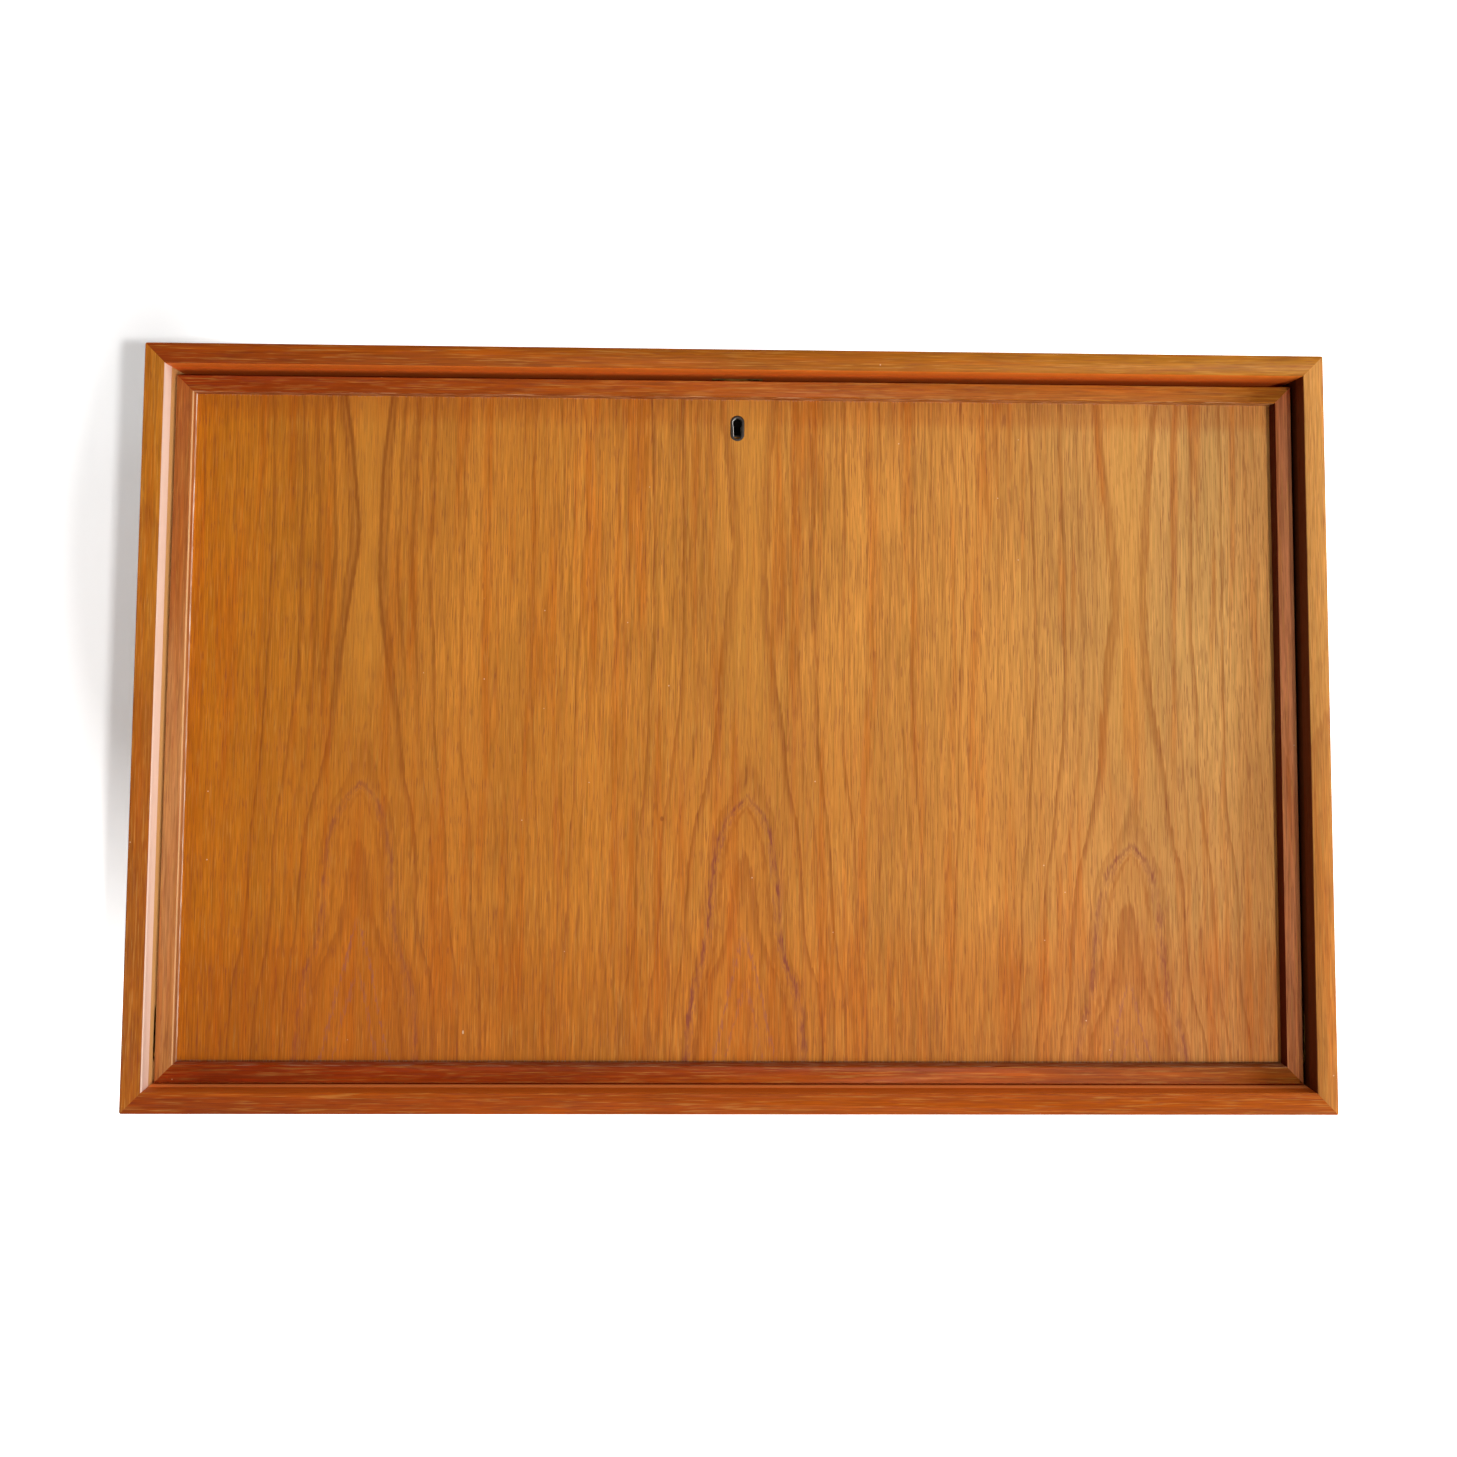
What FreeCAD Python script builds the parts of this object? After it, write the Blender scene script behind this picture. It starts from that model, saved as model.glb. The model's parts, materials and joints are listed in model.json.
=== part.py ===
"""Wall-mounted desk with a fall flap, in millimetres.

A shallow mitred case hangs on the wall by two rails behind its back panel.  Its front is a tray-like
flap: a veneered panel set back inside a raised mitred rim, with a keyhole near the top.  The flap
turns on two pivot hinges at its lower corners, falls forward to level, and is held there by two
slotted stays.  Open, its inner face lies flush with the raised bed inside the case, and together
they are the writing surface.  Behind it stand pigeonholes, letter slots and a housed shelf.

X runs to the right, Z up and Y into the wall, so the front faces -Y.  The origin is on the wall
plane, in the middle of the four wall screws.  Every piece is modelled with the flap shut.
"""

import FreeCAD
import Part

import math
import os

Vector = FreeCAD.Vector

# Case: four boards mitred at the corners, with a solid strip along each front edge
CASE_WIDTH = 900.0
CASE_HEIGHT = 572.0
CASE_DEPTH = 320.0
BOARD = 16.0
LIPPING_DEPTH = 12.0
ARRIS = 1.0
CORNER_ROUND = 1.5

# Loose tongues glued across the four mitres of the case
SPLINE_THICKNESS = 4.0
SPLINE_WIDTH = 12.0
SPLINE_FROM_INNER_CORNER = 9.0
SPLINE_END_MARGIN = 12.0

# Back panel in grooves, and the hanging rails behind it
BACK_THICKNESS = 5.0
BACK_GROOVE_DEPTH = 8.0
RAIL_THICKNESS = 16.0
RAIL_HEIGHT = 90.0
WALL_HOLE_DIAMETER = 6.0
WALL_HOLE_ABOVE_BED = 18.0
WALL_HOLE_FROM_INNER_SIDE = 110.0

# Flap: its place in the case, its raised rim and its veneered panel
REVEAL = 18.0
FLAP_SIDE_GAP = 1.4
FLAP_TOP_GAP = 4.5
FLAP_BOTTOM_GAP = 1.0
RIM_WIDTH = 13.0
RIM_RISE = 9.5
PANEL_THICKNESS = 16.0

# Pivot hinges: the axis lies just behind the rim's face, above the flap's lower edge
AXIS_BEHIND_RIM = 4.5
AXIS_ABOVE_EDGE = 20.0
HINGE_PIN_DIAMETER = 4.0
HINGE_PLATE_THICKNESS = 2.5
HINGE_PLATE_WIDTH = 13.0
HINGE_PLATE_SETBACK = 1.0
HINGE_PLATE_BELOW_AXIS = 7.0
HINGE_PLATE_ABOVE_AXIS = 37.0

# Writing bed inside the case, its hollowed nose, and the two rails that carry it
BED_THICKNESS = 16.0
BED_SWING_GAP = 1.0
BED_FLAP_GAP = 1.0
BED_NOSE_LAND = 1.2
BED_NOSE_DEPTH = 24.0
BED_RAIL_THICKNESS = 16.0

# Fitted interior
INTERIOR_SETBACK = 40.0
STAY_CHANNEL = 14.0
INNER_BOARD = 10.0
INNER_ARRIS = 0.8
PIGEONHOLE_HEIGHT = 120.0
LETTER_BOARD = 5.0
LETTER_BOARD_SETBACK = 12.0
HOUSING_DEPTH = 3.0
UPPER_SHELF_HEIGHT_SHARE = 0.5

# Rail under the top board that the shut flap meets, with two felt buffers
STOP_RAIL_THICKNESS = 14.0
STOP_RAIL_HEIGHT = 14.0
BUFFER_DIAMETER = 7.0
BUFFER_THICKNESS = 2.0
BUFFER_SPACING_SHARE = 0.45

# Stays: a slotted arm hangs on a bracket on the flap and slides on a stud in the case side
STAY_PIVOT_HEIGHT = 155.0
STAY_PIVOT_BEHIND_FLAP = 10.0
STAY_SHUT_REACH = 22.0
STAY_ARM_THICKNESS = 2.0
STAY_ARM_WIDTH = 14.0
STAY_ARM_FROM_SIDE = 4.0
STAY_SLOT_PLAY = 0.15
STAY_END_PLAY = 0.3
STUD_DIAMETER = 6.0
STUD_FLANGE_DIAMETER = 12.0
STUD_HEAD_DIAMETER = 11.0
STUD_HEAD_THICKNESS = 1.6
STUD_TAIL_DIAMETER = 5.0
STUD_TAIL_LENGTH = 10.0
BRACKET_THICKNESS = 2.0
BRACKET_WIDTH = 26.0
BRACKET_HEIGHT = 28.0
BRACKET_EYE_DIAMETER = 12.0
STAY_PIN_DIAMETER = 5.0
STAY_PIN_HEAD_DIAMETER = 9.0
STAY_PIN_HEAD_THICKNESS = 1.2

# Lock: a housing behind the panel, a plate over it, and a bolt that rises out of the flap's top edge
LOCK_PLATE_WIDTH = 54.0
LOCK_PLATE_HEIGHT = 45.0
LOCK_PLATE_THICKNESS = 1.5
LOCK_HOUSING_WIDTH = 40.0
LOCK_HOUSING_HEIGHT = 41.0
LOCK_HOUSING_DEPTH = 10.0
LOCK_WALL = 1.2
KEYHOLE_BELOW_EDGE = 31.5
BOLT_WIDTH = 18.0
BOLT_THICKNESS = 6.0
BOLT_HEAD_HEIGHT = 18.0
BOLT_SHOULDER_HEIGHT = 5.5
BOLT_LEG_WIDTH = 10.0
BOLT_LEG_FROM_KEY = 5.0
BOLT_LEG_BELOW_KEY = 6.5
BOLT_NOTCH_HEIGHT = 5.5
BOLT_NOTCH_DEPTH = 4.0
BOLT_TRAVEL = 10.0
SPRING_THICKNESS = 0.6
SPRING_BOW = 1.8
SPRING_FROM_WALL = 1.2

# Escutcheon let into the panel round the keyhole
ESCUTCHEON_WIDTH = 10.8
ESCUTCHEON_HEIGHT = 20.0
ESCUTCHEON_PROUD = 0.4
ESCUTCHEON_ARRIS = 0.5
KEYHOLE_DIAMETER = 7.2
KEYHOLE_SLOT_WIDTH = 5.4
ESCUTCHEON_TOP_RIM = 2.4
ESCUTCHEON_BOTTOM_RIM = 1.6

# Strike plate in the case's top board, over the mortise that the bolt enters
STRIKE_LENGTH = 40.0
STRIKE_WIDTH = 12.4
STRIKE_THICKNESS = 1.5
STRIKE_SLOT_PLAY = 1.0
MORTISE_PLAY = 2.0
MORTISE_END_ROOM = 3.0

# Countersunk wood screws
SCREW_HEAD_DIAMETER = 5.0
SCREW_SHANK_DIAMETER = 2.6
SCREW_LENGTH = 12.0
SCREW_SIDES = 12
SCREW_FROM_END = 7.0

# Clearances and the overrun of every cut
FIT = 0.1
RUNNING_FIT = 0.05
LETTING_IN = 0.3
OVERRUN = 2.0

# Places worked out from the sizes above
inner_x = CASE_WIDTH / 2 - BOARD
inner_z = CASE_HEIGHT / 2 - BOARD
front_y = -CASE_DEPTH
board_front_y = front_y + LIPPING_DEPTH
back_panel_rear_y = -RAIL_THICKNESS
back_panel_front_y = back_panel_rear_y - BACK_THICKNESS

rim_front_y = front_y + REVEAL
panel_front_y = rim_front_y + RIM_RISE
flap_inner_y = panel_front_y + PANEL_THICKNESS
flap_x = inner_x - FLAP_SIDE_GAP
flap_bottom_z = -inner_z + FLAP_BOTTOM_GAP
flap_top_z = inner_z - FLAP_TOP_GAP
panel_x = flap_x - RIM_WIDTH

axis_y = rim_front_y + AXIS_BEHIND_RIM
axis_z = flap_bottom_z + AXIS_ABOVE_EDGE
flap_behind_axis = flap_inner_y - axis_y

swing_radius = math.hypot(flap_behind_axis, AXIS_ABOVE_EDGE) + BED_SWING_GAP
bed_top_z = axis_z + flap_behind_axis
bed_bottom_z = bed_top_z - BED_THICKNESS

interior_front_y = flap_inner_y + INTERIOR_SETBACK
interior_x = inner_x - STAY_CHANNEL
bay_x = interior_x - INNER_BOARD
pigeonhole_top_z = bed_top_z + PIGEONHOLE_HEIGHT
upper_floor_z = pigeonhole_top_z + INNER_BOARD
stop_front_y = flap_inner_y + BUFFER_THICKNESS + FIT * 2

wall_hole_x = bay_x - WALL_HOLE_FROM_INNER_SIDE
wall_hole_z = -bed_top_z - WALL_HOLE_ABOVE_BED

lock_y = flap_inner_y - LOCK_PLATE_THICKNESS
housing_front_y = lock_y - LOCK_HOUSING_DEPTH
housing_bottom_z = flap_top_z - LOCK_HOUSING_HEIGHT
bolt_y = (housing_front_y + LOCK_WALL + lock_y) / 2
key_z = flap_top_z - KEYHOLE_BELOW_EDGE
escutcheon_top_z = key_z + KEYHOLE_DIAMETER / 2 + ESCUTCHEON_TOP_RIM
escutcheon_bottom_z = escutcheon_top_z - ESCUTCHEON_HEIGHT
keyhole_bottom_z = escutcheon_bottom_z + ESCUTCHEON_BOTTOM_RIM


def box(x, y, z):
    """A block between three pairs of limits."""
    size = (x[1] - x[0], y[1] - y[0], z[1] - z[0])
    return Part.makeBox(*size, Vector(x[0], y[0], z[0]))


def rod(start, end, diameter):
    """A round bar from one point to another."""
    run = end - start
    return Part.makeCylinder(diameter / 2, run.Length, start, run)


def prism(points, start, run):
    """A straight solid over an outline of corners, moved to start and drawn out along run."""
    outline = Part.makePolygon([*points, points[0]])
    outline.translate(start)
    return Part.Face(outline).extrude(run)


def mirrored(shape):
    """The same piece for the other side of the desk."""
    return shape.mirror(Vector(0, 0, 0), Vector(1, 0, 0))


def cut_all(shape, tools):
    """The shape with every tool cut out of it."""
    return shape.cut(Part.makeCompound(tools)) if tools else shape


def edges_along(shape, direction, keep):
    """The straight edges of a shape that run along a direction and whose middle passes a test."""
    found = []
    for edge in shape.Edges:
        run = edge.Vertexes[-1].Point - edge.Vertexes[0].Point
        across = run.cross(direction).Length
        middle = (edge.Vertexes[0].Point + edge.Vertexes[-1].Point) / 2
        if run.Length > 0 and across < FIT / 2 and keep(middle):
            found.append(edge)
    return found


def level(value, target):
    """Whether two lengths are the same, within half the fit clearance."""
    return abs(value - target) < FIT / 2


def mitred_frame(x, y, z, width, arris=0, corner=0):
    """Four members round an opening, mitred at 45 degrees, as a dictionary of solids.

    The whole ring is rounded first, at its outer corners and along its front arrises, and then
    parted on the mitres, so that the rounding runs on across each joint.
    """
    ring = box(x, y, z).cut(
        box(
            (x[0] + width, x[1] - width),
            (y[0] - OVERRUN, y[1] + OVERRUN),
            (z[0] + width, z[1] - width),
        )
    )
    if corner:
        outside = lambda p: level(abs(p.x), x[1]) and (level(p.z, z[0]) or level(p.z, z[1]))
        ring = ring.makeFillet(corner, edges_along(ring, Vector(0, 1, 0), outside))
    if arris:
        front = [e for e in ring.Edges if all(level(v.Point.y, y[0]) for v in e.Vertexes)]
        ring = ring.makeFillet(arris, front)

    over = OVERRUN
    deep = width + over
    outer = [
        Vector(x[0] - over, 0, z[0] - over),
        Vector(x[1] + over, 0, z[0] - over),
        Vector(x[1] + over, 0, z[1] + over),
        Vector(x[0] - over, 0, z[1] + over),
    ]
    inner = [
        Vector(x[0] + deep, 0, z[0] + deep),
        Vector(x[1] - deep, 0, z[0] + deep),
        Vector(x[1] - deep, 0, z[1] - deep),
        Vector(x[0] + deep, 0, z[1] - deep),
    ]
    start = Vector(0, y[0] - over, 0)
    run = Vector(0, y[1] - y[0] + over * 2, 0)
    members = {}
    for number, side in enumerate(("bottom", "right", "top", "left")):
        following = (number + 1) % len(outer)
        sector = [outer[number], outer[following], inner[following], inner[number]]
        members[side] = ring.common(prism(sector, start, run))
    return members


def turned(profile, start, direction):
    """A turned solid: its profile's distances along and out from an axis, swept round that axis."""
    way = Vector(direction)
    out = Vector(way.z, way.x, way.y)
    points = [start + way * along + out * radius for along, radius in profile]
    return Part.Face(Part.makePolygon([*points, points[0]])).revolve(start, way, 360)


def many_sided(rings):
    """A solid with flat sides through rings of corners, each ring with as many corners."""
    outlines = [rings[0], rings[-1]]
    for near, far in zip(rings, rings[1:]):
        for n in range(len(near)):
            outlines.append([near[n - 1], near[n], far[n], far[n - 1]])
    faces = [Part.Face(Part.makePolygon([*corners, corners[0]])) for corners in outlines]
    return Part.makeSolid(Part.makeShell(faces))


def screw(head, direction, play=0):
    """A countersunk screw whose flat head lies at a point; with play, the hole that it needs.

    It is many-sided instead of round, because so small a screw needs no finer outline.
    """
    way = Vector(direction)
    turn = FreeCAD.Rotation(way, 360 / SCREW_SIDES)
    head_radius = SCREW_HEAD_DIAMETER / 2 + play
    shank_radius = SCREW_SHANK_DIAMETER / 2 + play
    taper = head_radius - shank_radius
    rings = []
    for depth, radius in ((0, head_radius), (taper, shank_radius), (SCREW_LENGTH + play, shank_radius)):
        arm = Vector(way.z, way.x, way.y) * radius
        ring = []
        for _ in range(SCREW_SIDES):
            ring.append(head + way * depth + arm)
            arm = turn.multVec(arm)
        rings.append(ring)
    return many_sided(rings)


def screws(heads, direction):
    """A row of screws and the row of holes that they need."""
    made = [screw(head, direction) for head in heads]
    holes = [screw(head, direction, FIT) for head in heads]
    return made, holes


def stadium(a, b, radius, thickness):
    """A flat strip with round ends between two points in a plane of constant X, drawn out along +X."""
    along = (b - a).normalize()
    side = Vector(1, 0, 0).cross(along) * radius
    ends = [a + side, b + side, b - side, a - side]
    outline = Part.Wire(
        [
            Part.LineSegment(ends[0], ends[1]).toShape(),
            Part.Arc(ends[1], b + along * radius, ends[2]).toShape(),
            Part.LineSegment(ends[2], ends[3]).toShape(),
            Part.Arc(ends[3], a - along * radius, ends[0]).toShape(),
        ]
    )
    return Part.Face(outline).extrude(Vector(thickness, 0, 0))


def corner_splines(play=0):
    """The four tongues across the case's mitres; with play, the grooves that hold them."""
    half_width = SPLINE_WIDTH / 2 + play
    half_thickness = SPLINE_THICKNESS / 2 + play
    y = (board_front_y + SPLINE_END_MARGIN - play, back_panel_front_y - SPLINE_END_MARGIN + play)
    tongues = []
    for sx in (-1, 1):
        for sz in (-1, 1):
            out = Vector(sx, 0, sz).normalize()
            across = Vector(sz, 0, -sx).normalize()
            middle = Vector(sx * inner_x, 0, sz * inner_z) + out * SPLINE_FROM_INNER_CORNER
            corners = [
                middle + out * half_thickness * a + across * half_width * b
                for a, b in ((-1, -1), (1, -1), (1, 1), (-1, 1))
            ]
            tongues.append(prism(corners, Vector(0, y[0], 0), Vector(0, y[1] - y[0], 0)))
    return tongues


def back_panel_block(play=0):
    """The back panel before its holes; with play, the groove that it sits in."""
    reach = BACK_GROOVE_DEPTH + play - LETTING_IN
    return box(
        (-inner_x - reach, inner_x + reach),
        (back_panel_front_y - play, back_panel_rear_y + play),
        (-inner_z - reach, inner_z + reach),
    )


def wall_holes():
    """The four round holes for the wall screws, through the rails and the back panel."""
    holes = []
    for x in (-wall_hole_x, wall_hole_x):
        for z in (-wall_hole_z, wall_hole_z):
            start = Vector(x, back_panel_front_y - OVERRUN, z)
            holes.append(rod(start, Vector(x, OVERRUN, z), WALL_HOLE_DIAMETER))
    return holes


def swing_point(z):
    """The point at this height on the arc that clears the flap's turning lower corner."""
    return Vector(0, axis_y + math.sqrt(swing_radius**2 - (z - axis_z) ** 2), z)


def bed_nose():
    """The bed's solid front strip, hollowed under its thin lip, and the Y where it ends."""
    nose_y = max(flap_inner_y + BED_FLAP_GAP, swing_point(bed_top_z - BED_NOSE_LAND).y)
    lip = Vector(0, nose_y, axis_z + math.sqrt(swing_radius**2 - (nose_y - axis_y) ** 2))
    foot = swing_point(bed_bottom_z)
    between = swing_point((lip.z + foot.z) / 2)
    front_top = Vector(0, lip.y, bed_top_z)
    rear_top = Vector(0, lip.y + BED_NOSE_DEPTH, bed_top_z)
    rear_foot = Vector(0, rear_top.y, bed_bottom_z)
    outline = Part.Wire(
        [
            Part.LineSegment(front_top, lip).toShape(),
            Part.Arc(lip, between, foot).toShape(),
            Part.LineSegment(foot, rear_foot).toShape(),
            Part.LineSegment(rear_foot, rear_top).toShape(),
            Part.LineSegment(rear_top, front_top).toShape(),
        ]
    )
    outline.translate(Vector(-inner_x, 0, 0))
    return Part.Face(outline).extrude(Vector(inner_x * 2, 0, 0)), rear_top.y


def strike_mortise():
    """The pocket in the top board that takes the strike plate and the raised bolt."""
    plate = box(
        (-STRIKE_LENGTH / 2 - FIT, STRIKE_LENGTH / 2 + FIT),
        (bolt_y - STRIKE_WIDTH / 2 - FIT, bolt_y + STRIKE_WIDTH / 2 + FIT),
        (inner_z - OVERRUN, inner_z + STRIKE_THICKNESS),
    )
    half_x = BOLT_WIDTH / 2 + MORTISE_PLAY
    half_y = BOLT_THICKNESS / 2 + MORTISE_PLAY
    depth = BOLT_TRAVEL - FLAP_TOP_GAP + MORTISE_END_ROOM
    hole = box(
        (-half_x, half_x),
        (bolt_y - half_y, bolt_y + half_y),
        (inner_z - OVERRUN, inner_z + depth),
    )
    return [plate, hole]


def strike_screws():
    """The two screws of the strike plate, and their holes."""
    x = (STRIKE_LENGTH + BOLT_WIDTH) / 4 + STRIKE_SLOT_PLAY / 2
    heads = [Vector(side * x, bolt_y, inner_z) for side in (-1, 1)]
    return screws(heads, Vector(0, 0, 1))


def strike_plate():
    """A flat plate flush with the underside of the top board, with a slot for the bolt."""
    plate = box(
        (-STRIKE_LENGTH / 2, STRIKE_LENGTH / 2),
        (bolt_y - STRIKE_WIDTH / 2, bolt_y + STRIKE_WIDTH / 2),
        (inner_z, inner_z + STRIKE_THICKNESS),
    )
    half_x = BOLT_WIDTH / 2 + STRIKE_SLOT_PLAY
    half_y = BOLT_THICKNESS / 2 + STRIKE_SLOT_PLAY
    slot = box(
        (-half_x, half_x),
        (bolt_y - half_y, bolt_y + half_y),
        (inner_z - OVERRUN, inner_z + STRIKE_THICKNESS + OVERRUN),
    )
    return cut_all(plate, [slot, *strike_screws()[1]])


def hinge_outline(x, play=0):
    """A hinge plate's block with a round lower end, between two X limits."""
    radius = HINGE_PLATE_WIDTH / 2 + play
    middle_y = rim_front_y + HINGE_PLATE_SETBACK + HINGE_PLATE_WIDTH / 2
    low = Vector(x[0], middle_y, axis_z - HINGE_PLATE_BELOW_AXIS + HINGE_PLATE_WIDTH / 2)
    high = Vector(x[0], middle_y, axis_z + HINGE_PLATE_ABOVE_AXIS - HINGE_PLATE_WIDTH / 2)
    return stadium(low, high, radius, x[1] - x[0])


def hinge_screw_heads(x):
    """Where the two screws of a hinge plate sit, on the face at this X."""
    y = rim_front_y + HINGE_PLATE_SETBACK + HINGE_PLATE_WIDTH / 2
    top = axis_z + HINGE_PLATE_ABOVE_AXIS - SCREW_FROM_END
    return [Vector(x, y, z) for z in (top, (top + axis_z + HINGE_PLATE_WIDTH / 2) / 2)]


def hinge_plate_right():
    """The plate let into the case side, with the pin that the flap turns on."""
    outer_x = inner_x + HINGE_PLATE_THICKNESS
    plate = hinge_outline((inner_x, outer_x))
    root = Vector(inner_x, axis_y, axis_z)
    tip = Vector(flap_x - HINGE_PLATE_THICKNESS + LETTING_IN, axis_y, axis_z)
    pin = rod(root, tip, HINGE_PIN_DIAMETER)
    holes = screws(hinge_screw_heads(inner_x), Vector(1, 0, 0))[1]
    return cut_all(plate.fuse(pin).removeSplitter(), holes)


def hinge_leaf_right():
    """The plate let into the flap's end, bored for the pin."""
    leaf = hinge_outline((flap_x - HINGE_PLATE_THICKNESS, flap_x))
    bore = rod(
        Vector(flap_x - HINGE_PLATE_THICKNESS - OVERRUN, axis_y, axis_z),
        Vector(flap_x + OVERRUN, axis_y, axis_z),
        HINGE_PIN_DIAMETER + RUNNING_FIT * 2,
    )
    holes = screws(hinge_screw_heads(flap_x), Vector(-1, 0, 0))[1]
    return cut_all(leaf, [bore, *holes])


def stay_geometry():
    """The stay's pivot and stud with the flap shut, and the reach between them when it is open.

    Pivot and stud lie at one distance from the hinge axis, so the arm always stands square to the
    line that halves the angle between them, and turns through half of the flap's angle.
    """
    pivot = Vector(0, flap_inner_y + STAY_PIVOT_BEHIND_FLAP - axis_y, STAY_PIVOT_HEIGHT)
    radius = pivot.Length
    lean = math.atan2(pivot.y, pivot.z)
    half = math.asin(STAY_SHUT_REACH / 2 / radius)
    stud_lean = lean + half * 2
    stud = Vector(0, radius * math.sin(stud_lean), radius * math.cos(stud_lean))
    open_reach = radius * 2 * math.sin(math.pi / 4 + half)
    axis = Vector(0, axis_y, axis_z)
    return axis + pivot, axis + stud, open_reach


stay_pivot, stay_stud, stay_open_reach = stay_geometry()
arm_outer_x = inner_x - STAY_ARM_FROM_SIDE
arm_inner_x = arm_outer_x - STAY_ARM_THICKNESS
ear_outer_x = arm_inner_x - LETTING_IN
ear_inner_x = ear_outer_x - BRACKET_THICKNESS


def at(x, point):
    """The same point of a Y-Z plane, at another X."""
    return Vector(x, point.y, point.z)


def stay_arm_right():
    """The slotted arm, from its pivot on the flap past the stud in the case side."""
    along = (stay_stud - stay_pivot).normalize()
    eye = at(arm_inner_x, stay_pivot)
    slot_start = eye + along * (STAY_SHUT_REACH - STAY_END_PLAY)
    slot_end = eye + along * (stay_open_reach + STAY_END_PLAY)
    arm = stadium(eye, slot_end, STAY_ARM_WIDTH / 2, STAY_ARM_THICKNESS)
    slot_radius = STUD_DIAMETER / 2 + STAY_SLOT_PLAY
    over = Vector(OVERRUN, 0, 0)
    slot = stadium(slot_start - over, slot_end - over, slot_radius, STAY_ARM_THICKNESS + OVERRUN * 2)
    bore = rod(
        at(arm_inner_x - OVERRUN, stay_pivot),
        at(arm_outer_x + OVERRUN, stay_pivot),
        STAY_PIN_DIAMETER + RUNNING_FIT * 2,
    )
    return cut_all(arm, [slot, bore])


def stay_stud_right():
    """The turned stud in the case side: tail, thick flange, neck and head."""
    tail = STUD_TAIL_DIAMETER / 2
    flange = STUD_FLANGE_DIAMETER / 2
    neck = STUD_DIAMETER / 2
    head = STUD_HEAD_DIAMETER / 2
    neck_start = STAY_ARM_FROM_SIDE - LETTING_IN
    neck_end = STAY_ARM_FROM_SIDE + STAY_ARM_THICKNESS + LETTING_IN
    top = neck_end + STUD_HEAD_THICKNESS
    profile = [
        (-STUD_TAIL_LENGTH, 0),
        (-STUD_TAIL_LENGTH, tail),
        (0, tail),
        (0, flange),
        (neck_start, flange),
        (neck_start, neck),
        (neck_end, neck),
        (neck_end, head),
        (top, head),
        (top, 0),
    ]
    return turned(profile, at(inner_x, stay_stud), Vector(-1, 0, 0))


def stud_hole():
    """The blind hole in the case side for the stud's tail."""
    bottom = at(inner_x + STUD_TAIL_LENGTH + LETTING_IN, stay_stud)
    return rod(at(inner_x - OVERRUN, stay_stud), bottom, STUD_TAIL_DIAMETER + FIT * 2)


def bracket_screw_heads():
    """Where the two screws of a stay bracket sit, on the bracket's base."""
    x = (ear_inner_x - BRACKET_WIDTH + ear_outer_x) / 2
    y = flap_inner_y + BRACKET_THICKNESS
    reach = BRACKET_HEIGHT / 2 - SCREW_FROM_END
    return [Vector(x, y, stay_pivot.z + side * reach) for side in (-1, 1)]


def stay_bracket_right():
    """An angle on the flap's inner face: a screwed base, and an ear that carries the pivot pin."""
    half = BRACKET_HEIGHT / 2
    base = box(
        (ear_outer_x - BRACKET_WIDTH, ear_outer_x),
        (flap_inner_y, flap_inner_y + BRACKET_THICKNESS),
        (stay_pivot.z - half, stay_pivot.z + half),
    )
    root = Vector(ear_inner_x, flap_inner_y, stay_pivot.z)
    ear = stadium(root, at(ear_inner_x, stay_pivot), BRACKET_EYE_DIAMETER / 2, BRACKET_THICKNESS)
    ear = ear.cut(
        box(
            (ear_inner_x - OVERRUN, ear_outer_x + OVERRUN),
            (flap_inner_y - BRACKET_EYE_DIAMETER, flap_inner_y),
            (stay_pivot.z - BRACKET_EYE_DIAMETER, stay_pivot.z + BRACKET_EYE_DIAMETER),
        )
    )
    head_x = arm_outer_x + LETTING_IN
    pin = rod(at(ear_outer_x, stay_pivot), at(head_x, stay_pivot), STAY_PIN_DIAMETER)
    head = rod(
        at(head_x, stay_pivot), at(head_x + STAY_PIN_HEAD_THICKNESS, stay_pivot), STAY_PIN_HEAD_DIAMETER
    )
    whole = base.multiFuse([ear, pin, head]).removeSplitter()
    return cut_all(whole, screws(bracket_screw_heads(), Vector(0, -1, 0))[1])


def lock_block(width, height, y):
    """A block hung from the flap's top edge, centred on the keyhole."""
    return box((-width / 2, width / 2), y, (flap_top_z - height, flap_top_z))


def lock_pocket():
    """The recess in panel and rim that takes the lock's housing and plate."""
    housing = lock_block(
        LOCK_HOUSING_WIDTH + LETTING_IN * 2,
        LOCK_HOUSING_HEIGHT + LETTING_IN,
        (housing_front_y - LETTING_IN, flap_inner_y + OVERRUN),
    )
    plate = lock_block(
        LOCK_PLATE_WIDTH + FIT * 2, LOCK_PLATE_HEIGHT + FIT, (lock_y, flap_inner_y + OVERRUN)
    )
    edge = box(
        (-LOCK_PLATE_WIDTH / 2 - FIT, LOCK_PLATE_WIDTH / 2 + FIT),
        (housing_front_y - LETTING_IN, flap_inner_y + OVERRUN),
        (flap_top_z - LOCK_PLATE_THICKNESS, flap_top_z + OVERRUN),
    )
    return [housing, plate, edge]


def keyhole(y, play=0):
    """The keyhole's outline drawn out between two Y limits: a round eye over a straight slot."""
    eye = rod(Vector(0, y[0], key_z), Vector(0, y[1], key_z), KEYHOLE_DIAMETER + play * 2)
    half = KEYHOLE_SLOT_WIDTH / 2 + play
    slot = box((-half, half), y, (keyhole_bottom_z - play, key_z))
    return eye.fuse(slot).removeSplitter()


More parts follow.
